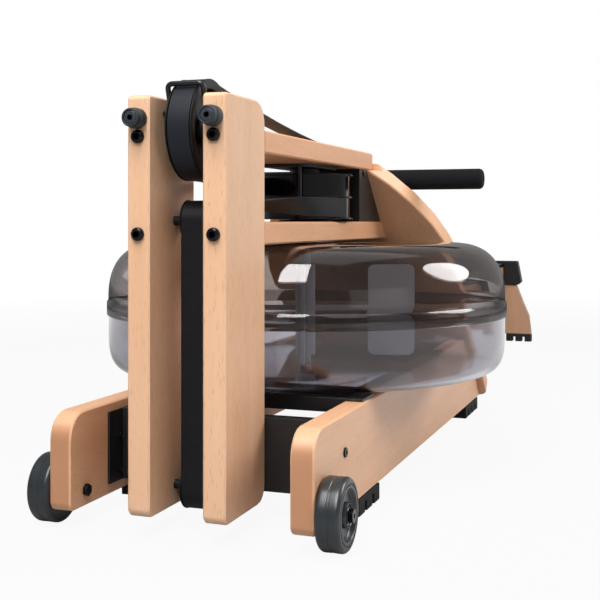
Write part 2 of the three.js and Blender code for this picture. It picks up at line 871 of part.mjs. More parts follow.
// Shaft and paddle wheel. Each paddle is a plate on one arm.
function impeller() {
  const shaft = barZ(shaftRadius, tankFoot + tankWall + shaftFootGap, upperDeckFoot - fit * 2 - shaftFootGap,
    0, 0);
  const hub = barZ(hubRadius, bladeFoot, bladeTop, 0, 0);
  const armTop = (bladeFoot + bladeTop) / 2 + armWidth / 2 - armDrop;
  const outline = rounded([
    [0, armTop - armWidth],
    [bladeInner, armTop - armWidth],
    [bladeInner, bladeFoot, bladeCorner],
    [bladeOuter, bladeFoot, bladeCorner],
    [bladeOuter, bladeTop, bladeCorner],
    [bladeInner, bladeTop, bladeCorner],
    [bladeInner, armTop],
    [0, armTop],
  ]);
  const blades = [];
  for (let i = 0; i < bladeCount; i += 1) {
    const blade = plateAlongY(outline, -bladeThickness / 2, bladeThickness / 2);
    blades.push(blade.rotateZ(bladeTurn + i * 2 * Math.PI / bladeCount));
  }
  piece('impeller', join(shaft, hub, ...blades).translate(0, tankY, 0), greyPlastic);
}

// Reel with an upper groove for the drive strap and a lower one for the recoil strap
function reel() {
  const wound = reelCore + strapWound;
  const profile = [
    [reelBore, reelFoot],
    [reelRadius, reelFoot],
    [reelRadius, reelFoot + reelFlange],
    [wound, reelFoot + reelFlange],
    [wound, reelSplit - reelFlange / 2],
    [reelRadius, reelSplit - reelFlange / 2],
    [reelRadius, reelSplit + reelFlange / 2],
    [wound, reelSplit + reelFlange / 2],
    [wound, reelTop - reelFlange],
    [reelRadius, reelTop - reelFlange],
    [reelRadius, reelTop],
    [reelBore, reelTop],
    [reelBore, reelFoot],
  ];
  piece('reel', turnedZ(profile, tankSides).translate(0, tankY, 0), blackPlastic);
}

// Bracket under the upper deck with the shaft's top bearing and the rod that keeps the straps on
function reelSupports() {
  const top = upperDeckFoot - fit;
  const foot = top - bracketPlate;
  const base = plateAlongZ(rounded([
    [-bracketHalf, tankY - bracketLead, bracketCorner],
    [bracketHalf, tankY - bracketLead, bracketCorner],
    [bracketHalf, tankY + bracketBack, bracketCorner],
    [-bracketHalf, tankY + bracketBack, bracketCorner],
  ]), foot, top);
  const boss = barZ(bracketBoss, reelTop + bearingGap, foot + bracketPlate / 2, 0, tankY, smallRound);
  const keeper = barZ(keeperRadius, reelSplit - reelFlange, foot + bracketPlate / 2, keeperX,
    tankY - keeperLead, barSides);
  const bore = barZ(reelBore, reelTop - overrun, upperDeckFoot + overrun, 0, tankY, smallRound);
  piece('reel_bracket', cut(join(base, boss, keeper), bore), blackSteel);

  const bearing = [
    [reelBore, lowerDeckTop + fit],
    [bearingRadius, lowerDeckTop + fit],
    [bearingRadius, reelFoot - bearingGap],
    [reelBore, reelFoot - bearingGap],
    [reelBore, lowerDeckTop + fit],
  ];
  piece('reel_bearing', turnedZ(bearing, smallRound).translate(0, tankY, 0), blackPlastic);
}

// The way of a strap from the reel, twisting a quarter turn, to just behind a pulley
function reelRun(side, reelHeight, pulleyY, pulleyHeight) {
  const lean = Math.asin(strapWrap / (tankY - pulleyY));
  const start = new THREE.Vector3(side * strapWrap * Math.cos(lean), tankY - strapWrap * Math.sin(lean), reelHeight);
  const end = new THREE.Vector3(0, pulleyY + strapLead, pulleyHeight);
  const stations = [];
  for (let i = 0; i < strapSteps; i += 1) {
    const share = i / strapSteps;
    const turn = Math.PI / 2 * share * share * (3 - 2 * share);
    const across = new THREE.Vector3(Math.sin(turn), 0, Math.cos(turn));
    stations.push({ at: start.clone().lerp(end, share), across });
  }
  stations.push({ at: end, across: axisX });
  return stations;
}

// Stations round a pulley whose axle lies along X, from one angle to another
function pulleyRun(y, z, radius, from, to) {
  const stations = [];
  const steps = Math.ceil(Math.abs(to - from) / strapArcStep);
  for (let i = 0; i <= steps; i += 1) {
    const turn = from + (to - from) * i / steps;
    const at = new THREE.Vector3(0, y + radius * Math.cos(turn), z + radius * Math.sin(turn));
    stations.push({ at, across: axisX });
  }
  return stations;
}

// Drive strap: reel, under and round the top pulley, and over the upper deck to its rear edge
function driveStraps() {
  const radius = topPulleyRadius + fit + strapThickness / 2;
  const lip = new THREE.Vector3(0, upperDeckEnd, upperDeckTop + fit * 2 + strapThickness / 2);
  let leaving = Math.PI / 2;
  for (let i = 0; i < 5; i += 1) {
    const run = lip.y - topPulleyY - radius * Math.cos(leaving);
    const drop = topPulleyZ + radius * Math.sin(leaving) - lip.z + strapSag * 4;
    leaving = Math.atan2(run, drop);
  }
  const reelPart = reelRun(-1, strapHeightUpper, topPulleyY, topPulleyZ - radius);
  const roundPulley = pulleyRun(topPulleyY, topPulleyZ, radius, -Math.PI / 2,
    leaving - Math.PI * 2);
  const off = roundPulley.at(-1).at;
  const overDeck = [];
  for (let i = 1; i <= strapSteps; i += 1) {
    const share = i / strapSteps;
    const at = off.clone().lerp(lip, share);
    at.z -= strapSag * 4 * share * (1 - share);
    overDeck.push({ at, across: axisX });
  }
  piece('drive_strap', strap([...reelPart, ...roundPulley, ...overDeck], strapWidth, strapThickness), webbing);

  const clampReach = handleRadius + fit + clampWall + clampLug + fit;
  const centre = new THREE.Vector3(0, handleY, handleZ);
  const start = lip.clone();
  start.y += fit + strapThickness / 2;
  const end = centre.clone().add(start.clone().sub(centre).setLength(clampReach));
  const stations = [0, 1, 2, 3, 4].map((i) => ({ at: start.clone().lerp(end, i / 4), across: axisX }));
  piece('handle_strap', strap(stations, strapWidth, strapThickness), webbing);
}

// Recoil strap: reel, over the upper recoil pulley, down, and back under the lower one
function recoil() {
  const half = strapThickness / 2;
  const upper = recoilUpperRadius + fit + half;
  const lower = recoilLowerRadius + fit + half;
  const stations = [
    ...reelRun(1, strapHeightLower, recoilPulleyY, recoilUpperZ + upper),
    ...pulleyRun(recoilPulleyY, recoilUpperZ, upper, Math.PI / 2, Math.PI),
    ...pulleyRun(lowerPulleyY, recoilLowerZ, lower, Math.PI, Math.PI * 1.5),
    { at: new THREE.Vector3(0, beltEnd, recoilLowerZ - lower), across: axisX },
  ];
  piece('recoil_strap', strap(stations, beltWidth - 2 * recoilFlangeWidth, strapThickness), webbing);

  const pulley = (radius) => {
    const outer = beltWidth / 2 + fit;
    const rim = radius + recoilFlangeRise;
    const stub = postInner + recoilSeat;
    return turnedX([
      [0, -stub],
      [recoilStub, -stub],
      [recoilStub, -outer],
      [rim, -outer],
      [rim, recoilFlangeWidth - outer],
      [radius, recoilFlangeWidth - outer],
      [radius, outer - recoilFlangeWidth],
      [rim, outer - recoilFlangeWidth],
      [rim, outer],
      [recoilStub, outer],
      [recoilStub, stub],
      [0, stub],
    ], smallRound);
  };
  piece('recoil_pulley_upper', pulley(recoilUpperRadius).translate(0, recoilPulleyY, recoilUpperZ), blackPlastic);
  piece('recoil_pulley_lower', pulley(recoilLowerRadius).translate(0, lowerPulleyY, recoilLowerZ), blackPlastic);

  const start = new THREE.Vector3(0, beltEnd + fit, recoilLowerZ - lower);
  const endZ = start.z + bungeeRise;
  const end = new THREE.Vector3(0, boardFront(endZ + bungeeRadius) - fit / boardSine, endZ);
  const section = new THREE.Shape().absarc(0, 0, bungeeRadius, 0, Math.PI * 2, false);
  const bungee = new THREE.ExtrudeGeometry(section, {
    steps: 1, curveSegments: 4, bevelEnabled: false, extrudePath: new THREE.LineCurve3(start, end),
  });
  piece('bungee', bungee, webbing);
}

// Dished pulley on a fixed axle between the posts
function topPulley() {
  const profile = mirroredProfile([
    [axleRadius + fit, topPulleyHalf + topPulleyFlangeWidth],
    [topPulleyHub, topPulleyHalf + topPulleyFlangeWidth],
    [topPulleyHub, topPulleyWeb],
    [topPulleyRim, topPulleyWeb],
    [topPulleyRim, topPulleyHalf],
    [topPulleyFlange, topPulleyHalf],
    [topPulleyFlange, topPulleyHalf - topPulleyFlangeWidth],
    [topPulleyRadius, topPulleyHalf - topPulleyFlangeWidth],
  ]);
  piece('top_pulley', turnedX(profile, pulleySides).translate(0, topPulleyY, topPulleyZ), blackPlastic);
  const reach = postInner + axleSeat;
  piece('top_pulley_axle', barX(axleRadius, -reach, reach, topPulleyY, topPulleyZ, smallRound), zincSteel);
}

// Rod bent over the front of the top pulley; its ends turn out to the posts' inner faces
function strapGuard() {
  const path = new THREE.CurvePath();
  const end = postInner - fit;
  const places = [
    [-end, guardEarY, guardEarZ],
    [-guardSpread, guardEarY, guardEarZ],
    [-guardSpread, guardY, guardZ],
    [guardSpread, guardY, guardZ],
    [guardSpread, guardEarY, guardEarZ],
    [end, guardEarY, guardEarZ],
  ].map(([x, y, z]) => new THREE.Vector3(x, y, z));
  const towards = (from, to) => from.clone().lerp(to, guardBend / from.distanceTo(to));
  let last = places[0];
  for (let i = 1; i < places.length - 1; i += 1) {
    const before = towards(places[i], places[i - 1]);
    const after = towards(places[i], places[i + 1]);
    path.add(new THREE.LineCurve3(last, before));
    path.add(new THREE.QuadraticBezierCurve3(before, places[i], after));
    last = after;
  }
  path.add(new THREE.LineCurve3(last, places[places.length - 1]));
  const section = new THREE.Shape().absarc(0, 0, guardRadius, 0, Math.PI * 2, false);
  const hoop = new THREE.ExtrudeGeometry(section, {
    steps: 56, curveSegments: 4, bevelEnabled: false, extrudePath: path,
  });
  piece('strap_guard', hoop, blackPlastic);
}

// Foam handle with round ends, and the clamp that the strap pulls on
function handle() {
  const nose = [0, 1, 2, 3].map((i) => i * Math.PI / 6).map((turn) => [
    handleRadius - handleRound + handleRound * Math.sin(turn),
    handleHalf - handleRound + handleRound * Math.cos(turn),
  ]);
  const other = nose.map(([r, h]) => [r, -h]).reverse();
  const grip = turnedX([[0, handleHalf], ...nose, ...other, [0, -handleHalf]], smallRound)
    .translate(0, handleY, handleZ);
  piece('handle_grip', grip, foam);

  const inner = handleRadius + fit;
  const outer = inner + clampWall;
  const half = clampWidth / 2;
  const ring = turnedX([[inner, -half], [outer, -half], [outer, half], [inner, half], [inner, -half]], smallRound);
  const lug = block(-half, half, inner + clampWall / 2, outer + clampLug, -clampWall / 2, clampWall / 2);
  const target = new THREE.Vector2(upperDeckEnd + fit - handleY,
    upperDeckTop + fit * 2 + strapThickness / 2 - handleZ);
  const clamp = join(ring, lug).rotateX(target.angle()).translate(0, handleY, handleZ);
  piece('handle_clamp', clamp, blackSteel);
}

// Rest for the handle: two shelves on a plate across the rower's side of the footboard
function handleRest() {
  const seat = handleRadius + fit;
  const place = (out, up) => {
    const turn = new THREE.Vector2(out, up).rotateAround(new THREE.Vector2(), handleRise);
    return [handleY + turn.x, handleZ + turn.y];
  };
  const clear = fit / boardSine;
  const footZ = handleZ - restFoot;
  const headZ = handleZ + restUpright;
  const outline = rounded([
    [boardRear(headZ) + clear, headZ],
    [boardRear(footZ) + clear, footZ],
    [...place(restShelf, -seat - restShelfThickness), restShelfThickness / 2],
    [...place(restShelf, -seat), restShelfThickness / 3],
    [...place(-seat, -seat), seat / 2],
    place(-seat, restUpright / 2),
  ]);
  const arms = sides.map(([, side]) => plateAlongX(outline,
    side * restMiddle - restWidth / 2, side * restMiddle + restWidth / 2));
  const plateTop = footZ + restPlateHeight;
  const across = plateAlongX(rounded([
    [boardRear(footZ) + clear, footZ],
    [boardRear(footZ) + clear + restPlate, footZ],
    [boardRear(plateTop) + clear + restPlate, plateTop],
    [boardRear(plateTop) + clear, plateTop],
  ]), -restMiddle, restMiddle);
  piece('handle_rest', join(across, ...arms), blackPlastic);
}

// Beech seat rail from the footboard to the end cap, with its running track
function seatRail() {
  const clear = fit / boardSine;
  const half = seatRailWidth / 2;
  const end = capRear - capWall - fit;
  const outline = rounded([
    [boardRear(seatRailFoot) + clear, seatRailFoot],
    [end, seatRailFoot],
    [end, seatRailTop],
    [boardRear(seatRailTop) + clear, seatRailTop],
  ]);
  piece('seat_rail', plateAlongX(outline, -half, half), beech);
  const start = boardRear(seatRailTop) + clear + trackSheet;
  const finishY = legFront - capLead - fit;
  const top = block(-trackOuter, trackOuter, start, finishY, seatRailTop + fit, trackTop);
  const lips = sides.map(([, side]) => {
    const inner = side * (trackOuter - trackSheet);
    const outer = side * trackOuter;
    return block(Math.min(inner, outer), Math.max(inner, outer), start + trackLip * 2, finishY,
      trackTop - trackLip, trackTop);
  });
  piece('rail_track', join(top, ...lips), aluminium);
}

// Rear leg with a waisted outline, its rubber feet and the moulded cap on the rail's end
function rearLeg() {
  const foot = footHeight + fit;
  const top = footHeight + legHeight;
  const neck = legHalf * legTopShare;
  const shape = new THREE.Shape();
  shape.moveTo(-legHalf, foot);
  shape.lineTo(legHalf, foot);
  shape.bezierCurveTo(legHalf, foot + legHeight / 2, legHalf - (legHalf - neck) / 2, foot + legHeight / 2, neck, top);
  shape.lineTo(-neck, top);
  shape.bezierCurveTo(-legHalf + (legHalf - neck) / 2, foot + legHeight / 2, -legHalf, foot + legHeight / 2,
    -legHalf, foot);
  piece('rear_leg', plateAlongY(shape, legFront, legBack, plankEdge), beech);
  const pad = plateAlongY(footOutline(legFootInner, legHalf - legFootInner, legFootLugs), legFront, legBack);
  pair('leg_foot', pad, rubber);

  const capFoot = top + fit;
  const capTop = capFoot + capHeight;
  const outline = rounded([
    [-capFootHalf + capChamfer, capFoot],
    [capFootHalf - capChamfer, capFoot],
    [capFootHalf, capFoot + capChamfer],
    [capTopHalf, capTop, capCorner],
    [-capTopHalf, capTop, capCorner],
    [-capFootHalf, capFoot + capChamfer],
  ]);
  const cap = plateAlongY(outline, legFront - capLead, capRear, plankEdge);
  const half = seatRailWidth / 2 + fit;
  const pocket = block(-half, half, legFront - capLead - overrun, capRear - capWall,
    capFoot - overrun, seatRailTop + fit);
  piece('rail_end_cap', cut(cap, pocket), blackPlastic);
}

// Seat pad outline at a share of its size: a rounded oblong whose sides draw in between the corners
function padRing(share, z, drawn) {
  const count = 40;
  const ring = [];
  for (let i = 0; i < count; i += 1) {
    const turn = i * 2 * Math.PI / count;
    const [c, s] = [Math.cos(turn), Math.sin(turn)];
    const power = 0.45;
    const x = Math.sign(c) * Math.abs(c) ** power * seatHalf;
    const y = Math.sign(s) * Math.abs(s) ** power * seatLength / 2;
    const pull = drawn * Math.cos(2 * turn) ** 2;
    const inward = 1 - pull / Math.hypot(x, y);
    ring.push(new THREE.Vector3(x * share * inward, seatY + y * share * inward, z));
  }
  return ring;
}

// Cushion, carriage that wraps the rail, and two axles with rollers
function seat() {
  const edgeTop = cushionFoot + seatEdge;
  const tuckShare = 1 - seatTuck / seatHalf;
  const rings = [
    padRing(tuckShare * 0.95, cushionFoot, seatDrawIn),
    padRing(tuckShare, cushionFoot + seatEdge * 0.2, seatDrawIn),
    padRing(1, cushionFoot + seatEdge * 0.5, seatDrawIn),
    padRing(0.995, cushionFoot + seatEdge * 0.8, seatDrawIn),
  ];
  const crownShares = [0.96, 0.86, 0.7, 0.5, 0.3, 0.1];
  crownShares.forEach((share) => {
    rings.push(padRing(share, edgeTop + seatCrown * (1 - share * share), seatDrawIn * share));
  });
  piece('seat_cushion', skin(rings), vinyl);

  const inner = trackOuter + carriagePlay;
  const outer = inner + carriageSheet;
  const start = seatY - carriageLength / 2;
  const end = seatY + carriageLength / 2;
  const lipTop = seatRailFoot - carriageUnder;
  const lipFoot = lipTop - carriageSheet;
  const plateTop = seatPlateFoot + carriageSheet;
  const section = rounded([
    [-outer, lipFoot], [-carriageLip, lipFoot], [-carriageLip, lipTop], [-inner, lipTop],
    [-inner, seatPlateFoot], [inner, seatPlateFoot], [inner, lipTop], [carriageLip, lipTop],
    [carriageLip, lipFoot], [outer, lipFoot], [outer, plateTop], [-outer, plateTop],
  ]);
  const saddle = plateAlongY(section, start, end);
  const seatPlate = plateAlongZ(rounded([
    [-seatPlateHalf, seatY - seatPlateLength / 2, seatPlateCorner],
    [seatPlateHalf, seatY - seatPlateLength / 2, seatPlateCorner],
    [seatPlateHalf, seatY + seatPlateLength / 2, seatPlateCorner],
    [-seatPlateHalf, seatY + seatPlateLength / 2, seatPlateCorner],
  ]), seatPlateFoot, plateTop);
  const axles = [['front', -1], ['rear', 1]].map(([name, side]) => [name, seatY + side * rollerSpacing / 2]);
  const bores = axles.map(([, y]) => barX(rollerAxle + fit, -outer - overrun, outer + overrun, y, rollerZ));
  piece('seat_carriage', cut(join(saddle, seatPlate), ...bores), blackSteel);

  const rollerHalf = rollerWidth / 2;
  axles.forEach(([name, y]) => {
    const axle = barX(rollerAxle, -outer - fit, outer + fit, y, rollerZ);
    const rollers = sides.map(([, side]) => barX(rollerRadius, side * rollerMiddle - rollerHalf,
      side * rollerMiddle + rollerHalf, y, rollerZ, smallRound));
    piece(`seat_rollers_${name}`, join(axle, ...rollers), blackPlastic);
  });
}

// Footplates with ribs and a slot, heel cups that slide in the slots, and webbing over the feet
function footrests() {
  const base = plank + fit;
  const faceOut = base + footplateThickness;
  sides.forEach(([name, side]) => {
    const middle = -side * footMiddle;
    const end = footplateStart + footplateLength;
    const panel = plate(rounded([
      [middle - footplateHalf, footplateStart, footplateHeelRadius],
      [middle + footplateHalf, footplateStart, footplateHeelRadius],
      [middle + footplateHalf, end, footplateToeRadius],
      [middle - footplateHalf, end, footplateToeRadius],
    ]), footplateThickness).translate(0, 0, base);
    const ribs = [];
    for (let i = 0; i < ribCount; i += 1) {
      const from = footplateStart + ribStart + i * ribSpacing;
      ribs.push(block(middle - ribLength / 2, middle + ribLength / 2, from, from + ribWidth,
        faceOut - ribHeight, faceOut + ribHeight));
    }
    const slotFrom = footplateStart + slotStart;
    const slot = block(middle - slotWidth / 2, middle + slotWidth / 2, slotFrom, slotFrom + slotLength,
      base - overrun, faceOut + overrun);
    piece(`footplate_${name}`, onBoard(cut(join(panel, ...ribs), slot)), blackPlastic);

    const cupFoot = footplateStart + heelStart;
    const seatOut = faceOut + fit;
    const cupOutline = (wall, reach) => rounded([
      [middle - heelHalf + wall, cupFoot + wall, heelRadius - wall],
      [middle + heelHalf - wall, cupFoot + wall, heelRadius - wall],
      [middle + heelHalf - wall, cupFoot + heelLength + reach],
      [middle - heelHalf + wall, cupFoot + heelLength + reach],
    ]);
    const cup = plate(cupOutline(0, 0), heelHeight).translate(0, 0, seatOut);
    const hollow = plate(cupOutline(heelWall, overrun), heelHeight).translate(0, 0, seatOut + heelBase);
    const lugFrom = footplateStart + heelLugStart;
    const lug = block(middle - slotWidth / 2 + fit, middle + slotWidth / 2 - fit, lugFrom, lugFrom + heelLug,
      seatOut - heelLugDepth, seatOut + heelBase / 2);
    piece(`heel_cup_${name}`, onBoard(join(cut(cup, hollow), lug)), blackPlastic);

    const stations = [];
    for (let i = 0; i <= strapSteps; i += 1) {
      const turn = Math.PI * i / strapSteps;
      const at = new THREE.Vector3(
        middle + footStrapHalf * Math.cos(turn),
        footplateStart + footStrapStart,
        faceOut + fit + footStrapHeight * Math.sin(turn) ** 0.8,
      );
      stations.push({ at, across: axisY });
    }
    piece(`foot_strap_${name}`, onBoard(strap(stations, footStrapWidth, footStrapThickness)), webbing);
  });
}

posts();
rails();
railFeet();
crossMember();
wheels();
postFasteners();
decks();
footboard();
deckSpacer();
tank();
tankSupports();
impeller();
reel();
reelSupports();
driveStraps();
recoil();
topPulley();
strapGuard();
handle();
handleRest();
seatRail();
rearLeg();
seat();
footrests();

// The origin is on the floor, under the middle of the whole machine
assembly.position.y = (bufferLength - capRear) / 2;

const machine = new THREE.Group();
machine.add(assembly);

export default machine;
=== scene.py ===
import json
import math
import bmesh
import bpy
from mathutils import Matrix, Vector
from mathutils.bvhtree import BVHTree


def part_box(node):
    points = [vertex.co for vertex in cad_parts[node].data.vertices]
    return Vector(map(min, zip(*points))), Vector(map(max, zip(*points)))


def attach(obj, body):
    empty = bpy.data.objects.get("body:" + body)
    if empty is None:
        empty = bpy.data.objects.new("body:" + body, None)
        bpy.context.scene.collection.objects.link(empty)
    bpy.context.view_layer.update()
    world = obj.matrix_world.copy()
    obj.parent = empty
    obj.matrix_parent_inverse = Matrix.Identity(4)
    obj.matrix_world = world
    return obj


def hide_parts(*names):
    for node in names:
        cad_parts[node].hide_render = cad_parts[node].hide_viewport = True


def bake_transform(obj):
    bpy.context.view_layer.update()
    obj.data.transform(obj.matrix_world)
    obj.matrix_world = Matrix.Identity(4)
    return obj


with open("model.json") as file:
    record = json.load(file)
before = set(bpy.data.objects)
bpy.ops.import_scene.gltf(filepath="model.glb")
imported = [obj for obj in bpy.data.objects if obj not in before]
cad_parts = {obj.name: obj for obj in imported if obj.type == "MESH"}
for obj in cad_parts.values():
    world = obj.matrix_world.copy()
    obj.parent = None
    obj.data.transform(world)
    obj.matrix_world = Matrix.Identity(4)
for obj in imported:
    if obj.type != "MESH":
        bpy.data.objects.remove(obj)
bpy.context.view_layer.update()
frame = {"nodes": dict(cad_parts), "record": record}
mm = 0.001

behaviour = frame["record"]["behaviour"]
nodeBody = {node: body for body, nodes in behaviour["bodies"].items() for node in nodes}
print("frame loaded:", len(frame["nodes"]), "nodes")

# Camera at the photograph's place: level, turned to the left, with the picture shifted up and right
cameraView = {
    "place": (0.4943, -2.1126, 0.3389),
    "turnDegrees": 20.79,
    "lens": 66.29,
    "sensor": 36.0,
    "shiftX": 0.0667,
    "shiftY": -0.132,
}


def placeCamera():
    lens = bpy.data.cameras.new("photographView")
    lens.lens = cameraView["lens"]
    lens.sensor_width = cameraView["sensor"]
    lens.shift_x = cameraView["shiftX"]
    lens.shift_y = cameraView["shiftY"]
    camera = bpy.data.objects.new("photographView", lens)
    camera.location = cameraView["place"]
    camera.rotation_euler = (math.radians(90), 0, math.radians(cameraView["turnDegrees"]))
    bpy.context.scene.collection.objects.link(camera)
    bpy.context.scene.camera = camera


placeCamera()
print("camera placed")


# Materials

def hexColor(code):
    channels = [int(code[i:i + 2], 16) / 255 for i in (0, 2, 4)]
    linear = [c / 12.92 if c <= 0.04045 else ((c + 0.055) / 1.055) ** 2.4 for c in channels]
    return (*linear, 1.0)


def addNode(tree, kind, feeds=None, **settings):
    node = tree.nodes.new(kind)
    for key, value in settings.items():
        setattr(node, key, value)
    for socket, value in (feeds or {}).items():
        if isinstance(value, bpy.types.NodeSocket):
            tree.links.new(value, node.inputs[socket])
        else:
            node.inputs[socket].default_value = value
    return node


def startMaterial(name, **sockets):
    material = bpy.data.materials.new(name)
    material.use_nodes = True
    tree = material.node_tree
    shader = next(n for n in tree.nodes if n.type == "BSDF_PRINCIPLED")
    for socket, value in sockets.items():
        shader.inputs[socket.replace("_", " ")].default_value = value
    place = addNode(tree, "ShaderNodeTexCoord").outputs["Object"]
    return material, tree, shader, place


def mixColor(tree, factor, first, second):
    return addNode(tree, "ShaderNodeMix", {0: factor, 6: first, 7: second}, data_type="RGBA").outputs[2]


def spread(tree, value, fromLow, fromHigh, toLow=0.0, toHigh=1.0):
    feeds = {"Value": value, "From Min": fromLow, "From Max": fromHigh, "To Min": toLow, "To Max": toHigh}
    return addNode(tree, "ShaderNodeMapRange", feeds).outputs[0]


def maths(tree, operation, first, second=0.0):
    return addNode(tree, "ShaderNodeMath", {0: first, 1: second}, operation=operation).outputs[0]


def noise(tree, place, scale, detail=2.0, roughness=0.5):
    feeds = {"Vector": place, "Scale": scale, "Detail": detail, "Roughness": roughness}
    return addNode(tree, "ShaderNodeTexNoise", feeds).outputs["Fac"]


def bump(tree, shader, height, depth, strength=1.0):
    feeds = {"Height": height, "Distance": depth, "Strength": strength}
    result = addNode(tree, "ShaderNodeBump", feeds)
    tree.links.new(result.outputs["Normal"], shader.inputs["Normal"])


# Steamed beech, planed, sanded and satin lacquered: pale orange tan with a soft lengthwise figure and the
# short dark flecks that mark the wood. A real fleck is 0.3 mm wide; it is drawn wider so that it shows.
# Sawn ends drink more lacquer and look browner.
beech = {
    "posts": ("EDC29F", "E0B08A", "CF9E78"),
    "boards": ("E5B38D", "D5A27B", "B47E5A"),
    "decks": ("E5AE86", "D49B73", "B07A56"),
    # The rear leg's tones are darker than the boards' as painted shade, since the leg stands far back, out of
    # the light
    "leg": ("B88E6F", "A98163", "98694B"),
    "fleck": "B17C55",
    "figureMm": 46,
    "lineMm": 5.5,
    "fleckMm": 1.5,
    "stretch": 9.0,
    "roughness": (0.38, 0.5),
}


def beechMaterial(name, tones, turn, seed, coat=0.35):
    material, tree, shader, place = startMaterial(name, IOR=1.5, Coat_Weight=coat, Coat_Roughness=0.38,
                                                  Specular_IOR_Level=0.4)
    shift = (seed, seed, seed)
    turned = addNode(tree, "ShaderNodeMapping", {"Vector": place, "Rotation": turn, "Location": shift})
    squeeze = (1, 1, 1 / beech["stretch"])
    grain = addNode(tree, "ShaderNodeMapping", {"Vector": turned.outputs[0], "Scale": squeeze}).outputs[0]
    figure = noise(tree, grain, 1000 / beech["figureMm"], 3.0, 0.55)
    lines = noise(tree, grain, 1000 / beech["lineMm"], 3.0, 0.6)
    flecks = noise(tree, grain, 1000 / beech["fleckMm"], 1.0, 0.4)
    light, dark, end = (hexColor(code) for code in beech[tones])
    tone = mixColor(tree, spread(tree, figure, 0.3, 0.72), light, dark)
    lined = mixColor(tree, spread(tree, lines, 0.45, 0.8, 0.0, 0.3), tone, dark)
    marked = mixColor(tree, spread(tree, flecks, 0.62, 0.72, 0.0, 0.36), lined, hexColor(beech["fleck"]))
    surface = tree.nodes["Texture Coordinate"].outputs["Normal"]
    facing = addNode(tree, "ShaderNodeMapping", {"Vector": surface, "Rotation": turn}).outputs[0]
    along = addNode(tree, "ShaderNodeSeparateXYZ", {0: facing}).outputs["Z"]
    along = maths(tree, "ABSOLUTE", along)
    ended = mixColor(tree, spread(tree, along, 0.75, 0.98, 0.0, 0.85), marked, end)
    tree.links.new(ended, shader.inputs["Base Color"])
    tree.links.new(spread(tree, lines, 0.3, 0.7, *beech["roughness"]), shader.inputs["Roughness"])
    bump(tree, shader, flecks, 0.08 * mm, 0.35)
    return material


# A grained finish: fine bumps, and wide soft clouds in which its tone and its gloss shift a little
clouds = {"grainedMm": 71.43, "shellMm": 111.11, "glossSpread": 0.06}


def grainedMaterial(name, color, roughness, grainMm, depthMm, metallic=0.0, worn=None, **sockets):
    material, tree, shader, place = startMaterial(name, Metallic=metallic, **sockets)
    grain = noise(tree, place, 1000 / grainMm, 2.0, 0.6)
    cloud = noise(tree, place, 1000 / clouds["grainedMm"], 3.0, 0.6)
    shade = mixColor(tree, spread(tree, cloud, 0.3, 0.75), hexColor(color), hexColor(worn or color))
    tree.links.new(shade, shader.inputs["Base Color"])
    low, high = roughness - clouds["glossSpread"], roughness + clouds["glossSpread"]
    gloss = spread(tree, cloud, 0.25, 0.75, low, high)
    tree.links.new(gloss, shader.inputs["Roughness"])
    bump(tree, shader, grain, depthMm * mm, 0.6)
    return material


# Woven nylon webbing: a tight, flat weave with a soft sheen, whose threads show only close by
def webbingMaterial(name, color, light, threadMm=1.1, rowMm=0.9):
    material, tree, shader, place = startMaterial(name, Roughness=0.5, Specular_IOR_Level=0.22)
    threads = noise(tree, place, 1000 / threadMm, 1.0, 0.4)
    # A wave texture of this scale repeats after pi times rowMm, so the rows are drawn coarser and show better
    feeds = {"Vector": place, "Scale": 1000 / rowMm / 10}
    rows = addNode(tree, "ShaderNodeTexWave", feeds, bands_direction="Z").outputs["Fac"]
    height = maths(tree, "ADD", threads, rows)
    shade = mixColor(tree, spread(tree, height, 0.5, 1.4), hexColor(color), hexColor(light))
    tree.links.new(shade, shader.inputs["Base Color"])
    bump(tree, shader, height, 0.08 * mm, 0.4)
    return material


# Polycarbonate, vacuum formed and tinted through its thickness: clear to look through. The tint at a slant is
# a tone of its own, since the bowl darkens toward its edges and the smoked dome hardly does.
def shellMaterial(name, color, edge, roughness, joint=None):
    material, tree, shader, place = startMaterial(name, Roughness=roughness, IOR=1.5, Transmission_Weight=1.0)
    cloud = noise(tree, place, 1000 / clouds["shellMm"], 2.0, 0.5)
    shade = mixColor(tree, spread(tree, cloud, 0.3, 0.7), hexColor(color[0]), hexColor(color[1]))
    slant = addNode(tree, "ShaderNodeLayerWeight", {"Blend": 0.5}).outputs["Facing"]
    edged = mixColor(tree, spread(tree, slant, 0.3, 0.95), shade, hexColor(edge))
    if joint:
        # The joint band is thicker than the walls, so more of the tint shows in it
        tone, foot, top, fade = joint
        height = addNode(tree, "ShaderNodeSeparateXYZ", {0: place}).outputs["Z"]
        above = spread(tree, height, (foot - fade) * mm, foot * mm)
        below = spread(tree, height, top * mm, (top + fade) * mm, 1.0, 0.0)
        inside = maths(tree, "MULTIPLY", above, below)
        edged = mixColor(tree, inside, edged, hexColor(tone))
    tree.links.new(edged, shader.inputs["Base Color"])
    return material


